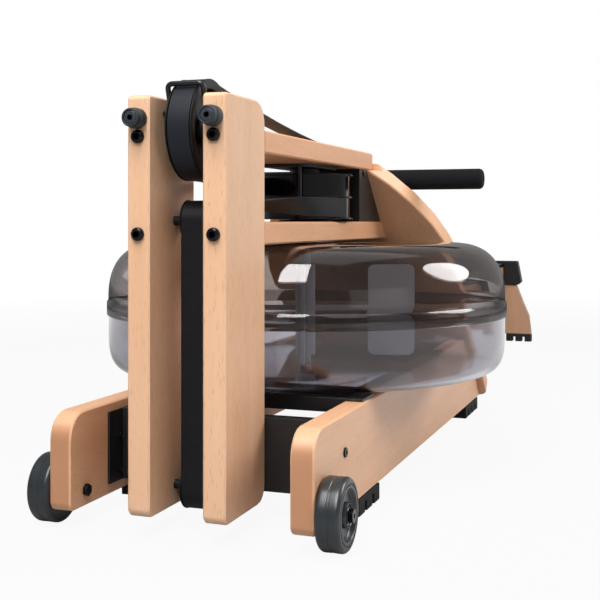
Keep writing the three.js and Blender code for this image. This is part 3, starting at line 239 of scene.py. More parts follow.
quarter = math.radians(90)
boardSlope = math.radians(43)
boardThickness = 26.0
materials = {
    "beechUpright": beechMaterial("steamedBeechUprightGrain", "posts", (0, 0, 0), 0.0),
    "beechUprightRight": beechMaterial("steamedBeechUprightGrainSecond", "posts", (0, 0, 0), 0.37),
    "beechLengthwise": beechMaterial("steamedBeechLengthwiseGrain", "boards", (quarter, 0, 0), 0.11),
    "beechDeck": beechMaterial("steamedBeechDeckGrain", "decks", (quarter, 0, 0), 0.17, coat=0.08),
    "beechSloping": beechMaterial("steamedBeechSlopingGrain", "boards", (boardSlope - quarter, 0, 0), 0.23,
                                  coat=0.08),
    # The rear leg gets the darker leg tones: painted shade
    "beechLegInShade": beechMaterial("steamedBeechLegGrainInShade", "leg", (0, 0, 0), 0.31),
    # Steel with a semi-gloss black powder coat: very fine orange peel
    "powderCoat": grainedMaterial("powderCoatedSteel", "0F1012", 0.42, 1.6, 0.05, worn="16171A"),
    # Bright zinc plated steel: a pale, faintly clouded mirror
    "zincPlate": grainedMaterial("zincPlatedSteel", "9C9EA1", 0.28, 1.1, 0.02, metallic=1.0, worn="86888C"),
    # Phosphated screws in the buffers: grey with a dull shine
    "phosphate": grainedMaterial("greyPhosphatedSteel", "4A5059", 0.34, 0.9, 0.02, metallic=0.6,
                                 worn="3C4149"),
    # Black oxide on bolt heads: dark, slightly oily
    "blackOxide": grainedMaterial("blackOxideSteel", "141518", 0.2, 0.9, 0.02, metallic=0.6, worn="1C1D21"),
    # Injection-moulded ABS with a spark-eroded grain that breaks up its highlights
    "mouldedPlastic": grainedMaterial("mouldedBlackPlastic", "090A0B", 0.46, 0.9, 0.06, worn="0F1011",
                                      Specular_IOR_Level=0.3),
    # The reel comes off a polished mould: black with sharp upright highlights
    "reelPlastic": grainedMaterial("polishedBlackPlastic", "060607", 0.14, 2.0, 0.01, worn="0A0A0B",
                                   Specular_IOR_Level=0.4),
    # The hoop is bent nylon, smooth enough for one soft highlight along it
    "hoopPlastic": grainedMaterial("smoothBlackNylon", "0E0F11", 0.3, 1.4, 0.02, worn="131417"),
    # Moulded polyamide wheel: dark blue grey, with a broad highlight across the tread
    "wheelPlastic": grainedMaterial("mouldedGreyNylon", "1F2327", 0.34, 1.2, 0.03, worn="272C31",
                                    Specular_IOR_Level=0.62),
    # Moulded rubber feet: flat black, so that only their ribs show
    "rubber": grainedMaterial("blackMouldedRubber", "101011", 0.72, 1.0, 0.08, worn="18181A",
                              Specular_IOR_Level=0.3),
    # The buffers' rubber has bloomed to a dusty blue grey
    "bufferRubber": grainedMaterial("bloomedGreyRubber", "1B1E23", 0.6, 1.0, 0.05, worn="262A30"),
    # Closed-cell nitrile foam: matt, pitted
    "foam": grainedMaterial("closedCellFoam", "101114", 0.82, 0.9, 0.22, worn="17181B",
                            Specular_IOR_Level=0.15),
    # Vinyl with a soft pebbled grain over foam
    "vinyl": grainedMaterial("pebbledVinyl", "17181A", 0.5, 2.2, 0.16, worn="1E1F22"),
    # Extruded track, anodised black: a satin streak along its length
    "anodised": grainedMaterial("blackAnodisedAluminium", "1A1B1D", 0.38, 0.8, 0.02, metallic=0.9,
                                worn="232427"),
    # The blades are moulded in grey, and the tank's tint makes them look smoky
    "bladePlastic": grainedMaterial("smokyBladePlastic", "A6A8B0", 0.38, 1.4, 0.03, worn="AEB0B8"),
    # Drive, handle and foot straps catch a little blue; the flat belt down the front is deeper black
    "webbing": webbingMaterial("wovenBlackWebbing", "171A20", "1F232A"),
    "beltWebbing": webbingMaterial("flatBlackBelt", "0C0D10", "14161A"),
    "smoked": shellMaterial("smokedPolycarbonate", ("C6BFBE", "BCB4B2"), "C9C3C2", 0.0,
                            joint=("8A8381", 210, 229, 0.5)),
    "clear": shellMaterial("clearPolycarbonate", ("D2D0D6", "CAC8CF"), "B5B3BA", 0.04),
}
print("materials made:", len(materials))


# Making pieces

def finishPiece(name, mesh, material, nodes, body=None, replace=True, sharpDegrees=None):
    data = bpy.data.meshes.new(name)
    mesh.to_mesh(data)
    mesh.free()
    data.materials.clear()
    data.materials.append(materials[material])
    data.shade_smooth()
    if sharpDegrees is not None:
        data.set_sharp_from_angle(angle=math.radians(sharpDegrees))
    piece = bpy.data.objects.new(name, data)
    bpy.context.scene.collection.objects.link(piece)
    if body != "blended":
        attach(piece, body or nodeBody[nodes[0]])
    if replace:
        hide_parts(*nodes)
    return piece


def roundEdges(piece, width, segments=2, degrees=30):
    bevel = piece.modifiers.new("roundedEdges", "BEVEL")
    bevel.width = width * mm
    bevel.segments = segments
    bevel.limit_method = "ANGLE"
    bevel.angle_limit = math.radians(degrees)
    bevel.miter_outer = "MITER_ARC"
    normals = piece.modifiers.new("evenShading", "WEIGHTED_NORMAL")
    normals.keep_sharp = True


def copyNode(node):
    mesh = bmesh.new()
    mesh.from_mesh(frame["nodes"][node].data)
    bmesh.ops.remove_doubles(mesh, verts=mesh.verts, dist=0.01 * mm)
    bmesh.ops.dissolve_limit(mesh, angle_limit=math.radians(0.5), verts=mesh.verts, edges=mesh.edges)
    return mesh


def dressNode(node, material, edge, segments):
    words = node.split("_")
    name = words[0] + "".join(word.capitalize() for word in words[1:])
    piece = finishPiece(name, copyNode(node), material, [node])
    roundEdges(piece, edge, segments)


def spinProfile(profile, axis, centre, steps):
    # A turned form: the profile is [radius, distance along the axis] in millimetres
    mesh = bmesh.new()
    verts = [mesh.verts.new((r * mm, 0, h * mm)) for r, h in profile]
    edges = [mesh.edges.new(pair) for pair in zip(verts, verts[1:])]
    if profile[0][0] > 0 or profile[-1][0] > 0:
        edges.append(mesh.edges.new((verts[-1], verts[0])))
    bmesh.ops.spin(mesh, geom=verts + edges, cent=(0, 0, 0), axis=(0, 0, 1), dvec=(0, 0, 0),
                   angle=math.radians(360), steps=steps, use_merge=True, use_duplicate=False)
    bmesh.ops.remove_doubles(mesh, verts=mesh.verts, dist=0.005 * mm)
    turns = {"X": Matrix.Rotation(quarter, 4, "Y"), "Y": Matrix.Rotation(-quarter, 4, "X"), "Z": Matrix()}
    bmesh.ops.transform(mesh, matrix=Matrix.Translation(centre) @ turns[axis], verts=mesh.verts)
    bmesh.ops.recalc_face_normals(mesh, faces=mesh.faces)
    return mesh


def middleOf(node):
    low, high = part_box(node)
    return (low + high) / 2


def arcPoints(centreRadius, centreHeight, radius, fromDegrees, toDegrees, count):
    points = []
    for i in range(count + 1):
        turn = math.radians(fromDegrees + (toDegrees - fromDegrees) * i / count)
        points.append((centreRadius + radius * math.cos(turn), centreHeight + radius * math.sin(turn)))
    return points


screwHead = {"socketShare": 0.5, "socketRim": 0.5, "socketDepthShare": 0.6, "sides": 28, "domeSteps": 6,
             "edgeShare": 0.16}


def addScrew(mesh, place, outward, radius, height, dome=0.0):
    # A round head with a hex socket that stands out of a face; a domed one curves up to its socket
    before = set(mesh.verts)
    socket = radius * screwHead["socketShare"]
    shoulder = socket + screwHead["socketRim"]
    rings = [(radius, 0.0)]
    if dome:
        arc = arcPoints(0, 0, 1, 0, 90, screwHead["domeSteps"])
        rings = [(shoulder + (radius - shoulder) * a, dome * (b - 1)) for a, b in arc]
    loops = []
    for ringRadius, lift in rings + [(socket, 0.0)]:
        sides = 6 if ringRadius == socket else screwHead["sides"]
        ring = bmesh.ops.create_circle(mesh, radius=ringRadius * mm, segments=sides)["verts"]
        bmesh.ops.translate(mesh, vec=(0, 0, lift * mm), verts=ring)
        loops.append(list({e for v in ring for e in v.link_edges}))
    for outerLoop, innerLoop in zip(loops, loops[1:]):
        bmesh.ops.bridge_loops(mesh, edges=outerLoop + innerLoop)
    for edges, depth in ((loops[0], dome - height), (loops[-1], -height * screwHead["socketDepthShare"])):
        made = bmesh.ops.extrude_edge_only(mesh, edges=edges)["geom"]
        lowered = [g for g in made if isinstance(g, bmesh.types.BMVert)]
        bmesh.ops.translate(mesh, vec=(0, 0, depth * mm), verts=lowered)
        bmesh.ops.contextual_create(mesh, geom=lowered)
    new = [v for v in mesh.verts if v not in before]
    turn = Vector((0, 0, 1)).rotation_difference(Vector(outward)).to_matrix().to_4x4()
    top = Vector(place) + Vector(outward).normalized() * height * mm
    bmesh.ops.transform(mesh, matrix=Matrix.Translation(top) @ turn, verts=new)
    bmesh.ops.recalc_face_normals(mesh, faces=list({f for v in new for f in v.link_faces}))


def screwSet(name, places, radius, height, material="blackOxide", dome=0.0):
    mesh = bmesh.new()
    for place, outward in places:
        addScrew(mesh, place, outward, radius, height, dome)
    piece = finishPiece(name, mesh, material, [], body="frame", replace=False)
    roundEdges(piece, min(radius, height) * screwHead["edgeShare"], 2, 40)


# Beech boards
boardFinish = {
    "post_left": "beechUpright",
    "post_right": "beechUprightRight",
    "base_rail_left": "beechLengthwise",
    "base_rail_right": "beechLengthwise",
    "upper_deck": "beechDeck",
    "lower_deck": "beechDeck",
    "seat_rail": "beechLengthwise",
    "footboard": "beechSloping",
    "rear_leg": "beechLegInShade",
}
for node, finish in boardFinish.items():
    dressNode(node, finish, edge=0.9, segments=3)
print("beech boards dressed:", len(boardFinish))

# Small solid parts that keep the frame's shape and only get softened edges and a finish
partFinish = {
    "cross_member": ("powderCoat", 0.7),
    "deck_spacer": ("powderCoat", 0.5),
    "tank_support_front": ("powderCoat", 0.6),
    "tank_support_rear": ("powderCoat", 0.6),
    "reel_bracket": ("powderCoat", 0.5),
    "reel_bearing": ("mouldedPlastic", 0.3),
    "rail_track": ("anodised", 0.4),
    "rail_end_cap": ("mouldedPlastic", 1.2),
    "seat_carriage": ("powderCoat", 0.6),
    "seat_rollers_front": ("mouldedPlastic", 0.8),
    "seat_rollers_rear": ("mouldedPlastic", 0.8),
    "handle_rest": ("mouldedPlastic", 1.2),
    "handle_clamp": ("powderCoat", 0.6),
    "footplate_left": ("mouldedPlastic", 0.3),
    "footplate_right": ("mouldedPlastic", 0.3),
    "heel_cup_left": ("mouldedPlastic", 1.1),
    "heel_cup_right": ("mouldedPlastic", 1.1),
    "impeller": ("bladePlastic", 0.8),
    "filler_plug": ("mouldedPlastic", 0.8),
    "top_pulley_axle": ("zincPlate", 0.4),
    "foot_front_left": ("rubber", 0.9),
    "foot_front_right": ("rubber", 0.9),
    "foot_rear_left": ("rubber", 0.9),
    "foot_rear_right": ("rubber", 0.9),
    "leg_foot_left": ("rubber", 0.9),
    "leg_foot_right": ("rubber", 0.9),
    "wheel_bolt_left": ("blackOxide", 1.3),
    "wheel_bolt_right": ("blackOxide", 1.3),
    "drive_strap": ("webbing", 0.3),
    "recoil_strap": ("beltWebbing", 0.3),
}
widestFineEdge = 1.1
for node, (finish, edge) in partFinish.items():
    dressNode(node, finish, edge=edge, segments=4 if edge > widestFineEdge else 2)
print("plain parts dressed:", len(partFinish))

# Tank: two formed shells; the upper one ends in a joint band that stands on the lower one's rim
tank = {
    "wall": 4.0,
    "bandFoot": 210.0,
    "bandTop": 229.0,
    "bandProud": 2.0,
    "shoulder": 71.0,
    "shoulderPower": 2.5,
    "bowlPower": 4.5,
    "bossRadius": 45.0,
    "bossTop": 311.4,
    "bossRise": 2.9,
    "bossEdge": 1.0,
    "shaftHole": 10.0,
    "footEdge": 0.8,
    "bandEdge": 1.2,
    "bandStep": 1.5,
    "bowlSlack": 0.3,
    "bowlRim": 3.0,
    "curveSteps": 26,
    "aroundSteps": 160,
}


def shellCurve(rimRadius, inner, rimHeight, flatHeight, power):
    # Rim to flat along a quarter of a superellipse, as [radius, height]
    points = []
    steps = tank["curveSteps"]
    for i in range(steps + 1):
        turn = quarter * i / steps
        points.append((inner + (rimRadius - inner) * max(math.cos(turn), 0) ** (2 / power),
                       rimHeight + (flatHeight - rimHeight) * math.sin(turn) ** (2 / power)))
    return points


def makeTank():
    low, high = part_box("tank_upper_shell")
    centre = Vector(((low.x + high.x) / 2, (low.y + high.y) / 2, 0))
    band = (high.x - low.x) / 2 / mm
    outer = band - tank["bandProud"]
    inner = outer - tank["shoulder"]
    boss, bossTop, bossEdge = tank["bossRadius"], tank["bossTop"], tank["bossEdge"]
    top = bossTop - tank["bossRise"]
    wall, foot, bandTop = tank["wall"], tank["bandFoot"], tank["bandTop"]
    footEdge, bandEdge = tank["footEdge"], tank["bandEdge"]
    outside = shellCurve(outer, inner, bandTop + tank["bandStep"], top, tank["shoulderPower"])
    inside = shellCurve(outer - wall, inner, bandTop, top - wall, tank["shoulderPower"])
    upper = [(band - footEdge, foot), (band, foot + footEdge)]
    upper += [(band, bandTop - bandEdge), (band - bandEdge, bandTop)]
    upper += outside + [(boss + bossEdge, top), (boss, top + bossEdge), (boss - bossEdge, bossTop)]
    upper += [(tank["shaftHole"], bossTop), (tank["shaftHole"], top - wall)]
    upper += inside[::-1] + [(outer - wall, foot)]
    finishPiece("tankUpperShell", spinProfile(upper, "Z", centre, tank["aroundSteps"]), "smoked",
                ["tank_upper_shell"], sharpDegrees=50)

    low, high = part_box("tank_lower_shell")
    rim = high.z / mm
    floor = low.z / mm
    outer = (high.x - low.x) / 2 / mm
    inner = outer - tank["shoulder"] + tank["bowlSlack"]
    curveTop = rim - tank["bowlRim"]
    outside = shellCurve(outer, inner, curveTop, floor, tank["bowlPower"])
    inside = shellCurve(outer - wall, inner, curveTop, floor + wall, tank["bowlPower"])
    lower = [(0, floor)] + outside[::-1] + [(outer, rim), (outer - wall, rim)] + inside + [(0, floor + wall)]
    finishPiece("tankLowerShell", spinProfile(lower, "Z", centre, tank["aroundSteps"]), "clear",
                ["tank_lower_shell"], sharpDegrees=50)


makeTank()
print("tank shells turned")

# Transport wheels: crowned tread with a moulding seam, ringed face and a sunk hub. The face is given from
# the bore out, as radius and depth below the face, and the seam as depth and distance from the middle.
wheel = {
    "tread": 38.5,
    "round": 5.0,
    "flat": 2.0,
    "bore": 4.3,
    "hubFace": ((8, 0), (8.6, 0.6), (8.6, 2.2), (9.4, 2.8), (11, 2.8), (11.6, 2.2), (11.6, 0.7), (12.3, 0)),
    "dishFace": ((12.7, 0.4), (13.6, 5), (24.6, 5), (26, 3.8), (26.7, 0.9), (27.6, 0)),
    "rimFace": ((30.2, 0), (31, 1.2), (32, 1.2), (32.6, 0)),
    "seam": ((0.15, 1.6), (0.7, 1.0)),
    "aroundSteps": 112,
}


def makeWheels():
    for side, name in ((-1, "left"), (1, "right")):
        node = "wheel_" + name
        low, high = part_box(node)
        half = (high.x - low.x) / 2 / mm
        r, e, bore = wheel["tread"], wheel["round"], wheel["bore"]
        rings = wheel["hubFace"] + wheel["dishFace"] + wheel["rimFace"]
        face = [(bore, half)] + [(radius, half - depth) for radius, depth in rings]
        front = arcPoints(r - e, half - e, e, 90, 0, 8)
        back = arcPoints(r - e, -half + e, e, 0, -90, 8) + [(bore, -half)]
        seam = [(r - depth, along) for depth, along in wheel["seam"]]
        seam += [(r - depth, -along) for depth, along in reversed(wheel["seam"])]
        edge = half - e - wheel["flat"]
        crown = [(r, edge)] + seam + [(r, -edge)]
        profile = [(radius, side * along) for radius, along in face + front + crown + back]
        mesh = spinProfile(profile, "X", middleOf(node), wheel["aroundSteps"])
        finishPiece("wheel" + name.capitalize(), mesh, "wheelPlastic", [node], sharpDegrees=38)


makeWheels()
print("wheels turned")

# Rubber buffers on the posts: a slimmer nose, a groove, and a screw sunk in the end. The mouth and the body
# are given as radius and distance from the nose's end.
buffer = {
    "radius": 11.0,
    "nose": 9.9,
    "noseRound": 1.4,
    "mouth": ((0, 2.4), (7.3, 2.4), (7.6, 2.1), (7.6, 0.5), (8.1, 0)),
    "body": ((9.9, 6.6), (9.2, 7.1), (9.2, 7.9), (10.1, 8.4), (10.9, 9.2), (11.0, 10.4)),
    "backEdge": 0.9,
    "screw": 7.3,
    "sunk": 2.4,
    "head": 1.9,
    "dome": 0.6,
    "aroundSteps": 72,
}


def makeBuffers():
    b = buffer
    for name in ("left", "right"):
        node = "buffer_" + name
        low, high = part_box(node)
        length = (high.y - low.y) / mm
        base = Vector(((low.x + high.x) / 2, high.y, (low.z + high.z) / 2))
        nose = arcPoints(b["nose"] - b["noseRound"], length - b["noseRound"], b["noseRound"], 90, 0, 5)
        profile = [(r, length - depth) for r, depth in b["mouth"]] + nose
        profile += [(r, length - depth) for r, depth in b["body"]]
        profile += [(b["radius"], b["backEdge"]), (b["radius"] - b["backEdge"], 0), (0, 0)]
        mesh = spinProfile([(r, -along) for r, along in profile], "Y", base, b["aroundSteps"])
        finishPiece("buffer" + name.capitalize(), mesh, "bufferRubber", [node], sharpDegrees=50)
        place = base - Vector((0, (length - b["sunk"]) * mm, 0))
        screwSet("bufferScrew" + name.capitalize(), [(place, (0, -1, 0))], b["screw"], b["head"],
                 material="phosphate", dome=b["dome"])


makeBuffers()
print("buffers made")

# Pulleys and reel. Half of the top pulley is given as radius and distance from its middle: hub, web, rim
# and flange, down to the groove that the strap runs in.
pulley = {
    "topHub": ((6.3, 17.5), (15.2, 17.5), (16, 16.7), (18, 5), (19.5, 4)),
    "topRim": ((42, 4), (44, 6), (45, 14.7), (46, 15.5)),
    "topFlange": ((55.1, 15.5), (55.8, 14.8), (55.8, 13.9), (53.3, 13.5)),
    "upperGroove": 20.0,
    "lowerGroove": 22.0,
    "flangeRise": 3.0,
    "flangeWidth": 2.0,
    "flangeTaper": 0.3,
    "edge": 0.6,
    "half": 15.3,
    "stub": 5.0,
    "topSteps": 128,
    "recoilSteps": 80,
}
reelShape = {"bore": 8.3, "flange": 2.5, "split": 371.5, "core": 62.4, "edge": 0.5, "aroundSteps": 128}


def makePulleys():
    p = pulley
    half = [*p["topHub"], *p["topRim"], *p["topFlange"]]
    profile = half + [(r, -h) for r, h in reversed(half)]
    mesh = spinProfile(profile, "X", middleOf("top_pulley"), p["topSteps"])
    finishPiece("topPulley", mesh, "mouldedPlastic", ["top_pulley"], sharpDegrees=40)
    for place in ("upper", "lower"):
        node = "recoil_pulley_" + place
        groove = p[place + "Groove"]
        low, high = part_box(node)
        reach = (high.x - low.x) / 2 / mm
        rim = groove + p["flangeRise"]
        inner = p["half"] - p["flangeWidth"]
        half = [
            (0, reach), (p["stub"] - p["edge"], reach), (p["stub"], reach - p["edge"]),
            (p["stub"], p["half"]), (rim - p["edge"], p["half"]), (rim, p["half"] - p["edge"]),
            (rim, inner + p["flangeTaper"]), (groove, inner),
        ]
        profile = half + [(r, -h) for r, h in reversed(half)]
        mesh = spinProfile(profile, "X", middleOf(node), p["recoilSteps"])
        finishPiece("recoilPulley" + place.capitalize(), mesh, "mouldedPlastic", [node], sharpDegrees=40)


def makeReel():
    low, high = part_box("reel")
    centre = Vector(((low.x + high.x) / 2, (low.y + high.y) / 2, 0))
    foot, top, rim = low.z / mm, high.z / mm, (high.x - low.x) / 2 / mm
    s = reelShape
    middle = (s["split"] - s["flange"] / 2, s["split"] + s["flange"] / 2)
    profile = [(s["bore"], foot)]
    for flangeLow, flangeHigh in ((foot, foot + s["flange"]), middle, (top - s["flange"], top)):
        start = s["bore"] if flangeLow == foot else s["core"]
        profile += [(start, flangeLow), (rim - s["edge"], flangeLow), (rim, flangeLow + s["edge"]),
                    (rim, flangeHigh - s["edge"]), (rim - s["edge"], flangeHigh)]
        profile.append((s["bore"] if flangeHigh == top else s["core"], flangeHigh))
    mesh = spinProfile(profile[1:], "Z", centre, s["aroundSteps"])
    finishPiece("reel", mesh, "reelPlastic", ["reel"], sharpDegrees=40)


makePulleys()
makeReel()
print("pulleys and reel turned")

# Foam grip: straight sleeve with pressed round ends
grip = {"round": 7.0, "dimple": 5.5, "dimpleEdge": 1.0, "dimpleDepth": 1.2, "rings": 24,
        "aroundSteps": 64}


def makeGrip():
    low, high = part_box("handle_grip")
    half = (high.x - low.x) / 2 / mm
    radius = (high.z - low.z) / 2 / mm
    nose = arcPoints(radius - grip["round"], half - grip["round"], grip["round"], 90, 0, 8)
    dimpleFloor = half - grip["dimpleDepth"]
    end = [(0, dimpleFloor), (grip["dimple"] - grip["dimpleEdge"], dimpleFloor), (grip["dimple"], half)]
    side = end + nose
    straight = [(radius, half * (1 - 2 * i / grip["rings"])) for i in range(2, grip["rings"] - 1)]
    profile = side + straight + [(r, -h) for r, h in reversed(side)]
    mesh = spinProfile(profile, "X", middleOf("handle_grip"), grip["aroundSteps"])
    finishPiece("handleGrip", mesh, "foam", ["handle_grip"], sharpDegrees=50)


makeGrip()
print("grip made")


# Hoop over the top pulley: a bent tube with closed, rounded ends
def makeHoop():
    mesh = bmesh.new()
    mesh.from_mesh(frame["nodes"]["strap_guard"].data)
    bmesh.ops.remove_doubles(mesh, verts=mesh.verts, dist=0.01 * mm)
    piece = finishPiece("strapGuard", mesh, "hoopPlastic", ["strap_guard"])
    smooth = piece.modifiers.new("smoothTube", "SUBSURF")
    smooth.levels = smooth.render_levels = 2


makeHoop()


# The bungee: a braided cord
def makeBungee():
    piece = finishPiece("bungee", copyNode("bungee"), "webbing", ["bungee"])
    roundEdges(piece, width=0.8)


makeBungee()

# Handle strap between the deck's rear edge and the clamp: it lengthens as the handle is pulled
handleStrap = {"rows": 60, "columns": 4, "thickness": 2.0, "endInset": 0.6}


def makeHandleStrap():
    low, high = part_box("handle_strap")
    inset = handleStrap["endInset"] * mm
    halfThick = handleStrap["thickness"] / 2 * mm
    start = Vector((0, low.y + inset, high.z - halfThick))
    end = Vector((0, high.y - inset, low.z + halfThick))
    width = high.x - low.x
    mesh = bmesh.new()
    bmesh.ops.create_grid(mesh, x_segments=handleStrap["columns"], y_segments=handleStrap["rows"], size=0.5)
    for vert in mesh.verts:
        share = vert.co.y + 0.5
        place = start.lerp(end, share)
        vert.co = Vector((vert.co.x * width, place.y, place.z))
    bmesh.ops.recalc_face_normals(mesh, faces=mesh.faces)
    piece = finishPiece("handleStrap", mesh, "webbing", ["handle_strap"], body="blended")
    thick = piece.modifiers.new("strapThickness", "SOLIDIFY")
    thick.thickness = handleStrap["thickness"] * mm
    thick.offset = 0
    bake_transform(piece)


makeHandleStrap()
print("straps made")

# Seat cushion: foam under vinyl, blown up by cloth pressure, with a welt round its edge
cushion = {
    "voxel": 5.0,
    "pressure": 4.0,
    "quality": 4,
    "frames": 20,
    "cap": 5.0,
    "shrink": 0.975,
    "footGap": 0.2,
    "weltRadius": 1.3,
    "weltLevel": 0.62,
    "weltPoints": 180,
    "weltReach": 500.0,
}


def makeCushion():
    low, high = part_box("seat_cushion")
    centre = (low + high) / 2
    mesh = bmesh.new()
    mesh.from_mesh(frame["nodes"]["seat_cushion"].data)
    bmesh.ops.remove_doubles(mesh, verts=mesh.verts, dist=0.01 * mm)
    shrink = cushion["shrink"]
    for vert in mesh.verts:
        vert.co.x = centre.x + (vert.co.x - centre.x) * shrink
        vert.co.y = centre.y + (vert.co.y - centre.y) * shrink
    piece = finishPiece("seatCushion", mesh, "vinyl", ["seat_cushion"])
    remesh = piece.modifiers.new("evenSkin", "REMESH")
    remesh.mode = "VOXEL"
    remesh.voxel_size = cushion["voxel"] * mm
    bpy.context.view_layer.objects.active = piece
    bpy.ops.object.modifier_apply(modifier=remesh.name)
    start = [vert.co.copy() for vert in piece.data.vertices]
    cloth = piece.modifiers.new("stuffing", "CLOTH")
    cloth.settings.use_pressure = True
    cloth.settings.uniform_pressure_force = cushion["pressure"]
    cloth.settings.effector_weights.gravity = 0
    cloth.settings.quality = cushion["quality"]
    scene = bpy.context.scene
    for step in range(1, cushion["frames"] + 1):
        scene.frame_set(step)
    bpy.ops.object.modifier_apply(modifier=cloth.name)
    scene.frame_set(1)
    limit = cushion["cap"] * mm
    for vert, rest in zip(piece.data.vertices, start):
        move = vert.co - rest
        if move.length > limit:
            move = move.normalized() * limit
        vert.co = rest + move
        vert.co.z = max(vert.co.z, low.z + cushion["footGap"] * mm)
    smooth = piece.modifiers.new("softSkin", "SUBSURF")
    smooth.levels = smooth.render_levels = 1
    piece.data.shade_smooth()
    return piece


def makeWelt(seat):
    # The piped seam where the cover's top panel meets its side: a thin cord sunk halfway into the pad's edge
    low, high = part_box("seat_cushion")
    middle = (low + high) / 2
    level = low.z + (high.z - low.z) * cushion["weltLevel"]
    corners = [vert.co for vert in seat.data.vertices]
    tree = BVHTree.FromPolygons(corners, [face.vertices[:] for face in seat.data.polygons])
    curve = bpy.data.curves.new("cushionWelt", "CURVE")
    curve.dimensions = "3D"
    curve.bevel_depth = cushion["weltRadius"] * mm
    curve.bevel_resolution = 2
    line = curve.splines.new("POLY")
    line.use_cyclic_u = True
    points = []
    for i in range(cushion["weltPoints"]):
        turn = math.radians(360 * i / cushion["weltPoints"])
        outward = Vector((math.cos(turn), math.sin(turn), 0))
        start = Vector((middle.x, middle.y, level)) + outward * cushion["weltReach"] * mm
        hit = tree.ray_cast(start, -outward)[0]
        if hit is not None:
            points.append(hit)
    line.points.add(len(points) - 1)
    for spot, place in zip(line.points, points):
        spot.co = (*place, 1)
    path = bpy.data.objects.new("cushionWeltPath", curve)
    shaped = bpy.data.meshes.new_from_object(path)
    bpy.data.objects.remove(path)
    mesh = bmesh.new()
    mesh.from_mesh(shaped)
    finishPiece("cushionWelt", mesh, "webbing", ["seat_cushion"], replace=False)


seatCushion = makeCushion()
makeWelt(seatCushion)
print("cushion stuffed")

# Straps over the feet: a stiff arch of webbing with a second layer closed over the first
footStrap = {
    "middle": 85.0,
    "along": 337.0,
    "out": 34.6,
    "half": 36.0,
    "height": 46.0,
    "width": 38.0,
    "flatness": 0.8,
    "edgeRoll": 0.8,
    "around": 36,
    "across": 6,
    "thickness": 2.2,
    "layerGap": 0.2,
    "overlap": (0.18, 0.6),
}


def boardPlace(across, along, out):
    # From the footboard's own frame, in millimetres, to a place in the machine
    low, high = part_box("footboard")
    edgeY = high.y - boardThickness * math.sin(boardSlope) * mm
    return Vector((
        -across * mm,
        edgeY - along * math.cos(boardSlope) * mm + out * math.sin(boardSlope) * mm,
        low.z + along * math.sin(boardSlope) * mm + out * math.cos(boardSlope) * mm,
    ))


def makeFootStraps():
    s = footStrap
    layers = (("", (0.0, 1.0), 0.0), ("Flap", s["overlap"], s["thickness"] + s["layerGap"]))
    for side, name in ((-1, "left"), (1, "right")):
        node = "foot_strap_" + name
        for layer, (low, high), lift in layers:
            mesh = bmesh.new()
            bmesh.ops.create_grid(mesh, x_segments=s["around"], y_segments=s["across"], size=0.5)
            for vert in mesh.verts:
                turn = math.pi * (low + (high - low) * (vert.co.x + 0.5))
                roll = (vert.co.y * 2) ** 4 * s["edgeRoll"] * math.sin(turn)
                across = -side * s["middle"] + (s["half"] + lift) * math.cos(turn)
                out = s["out"] + (s["height"] + lift) * max(math.sin(turn), 0) ** s["flatness"] - roll
                vert.co = boardPlace(across, s["along"] + vert.co.y * s["width"], out)
            bmesh.ops.recalc_face_normals(mesh, faces=mesh.faces)
            title = "footStrap" + layer + name.capitalize()
            piece = finishPiece(title, mesh, "webbing", [node], replace=not layer)
            thick = piece.modifiers.new("strapThickness", "SOLIDIFY")
            thick.thickness = s["thickness"] * mm
            thick.offset = 0


makeFootStraps()
print("foot straps made")

# Screws: heads as radius and height, and their places from the edges of what they hold
deckBolt = {"radius": 7.4, "height": 5.0, "dome": 3.2, "edge": 0.3}
screws = {
    "railHead": (5.5, 2.2),
    "smallHead": (4.2, 2.0),
    "plateHead": (3.6, 1.6),
    "capHead": (5.0, 1.8),
    "railBehind": 25,
    "railAboveFoot": 12,
    "railUnderTop": 31,
    "nutInset": 3,
    "bracketBehind": 22,
    "bracketUnderTop": 6,
    "supportAside": 139,
    "plateFace": 34.3,
    "plateAside": 30,
    "plateAlong": (180, 445),
    "capAside": 52,
    "capAboveFoot": 34,
}


def makeDeckBolts():
    # Button heads on the posts' fronts; their shanks are inside the wood
    for level in ("upper", "lower"):
        for side in ("left", "right"):
            node = "deck_bolt_" + level + "_" + side
            low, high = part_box(node)
            middle = middleOf(node)
            mesh = bmesh.new()
            face = (middle.x, low.y + deckBolt["height"] * mm, middle.z)
            addScrew(mesh, face, (0, -1, 0), deckBolt["radius"], deckBolt["height"], deckBolt["dome"])
            name = "deckBolt" + level.capitalize() + side.capitalize()
            piece = finishPiece(name, mesh, "blackOxide", [node])
            roundEdges(piece, deckBolt["edge"], 2, 40)


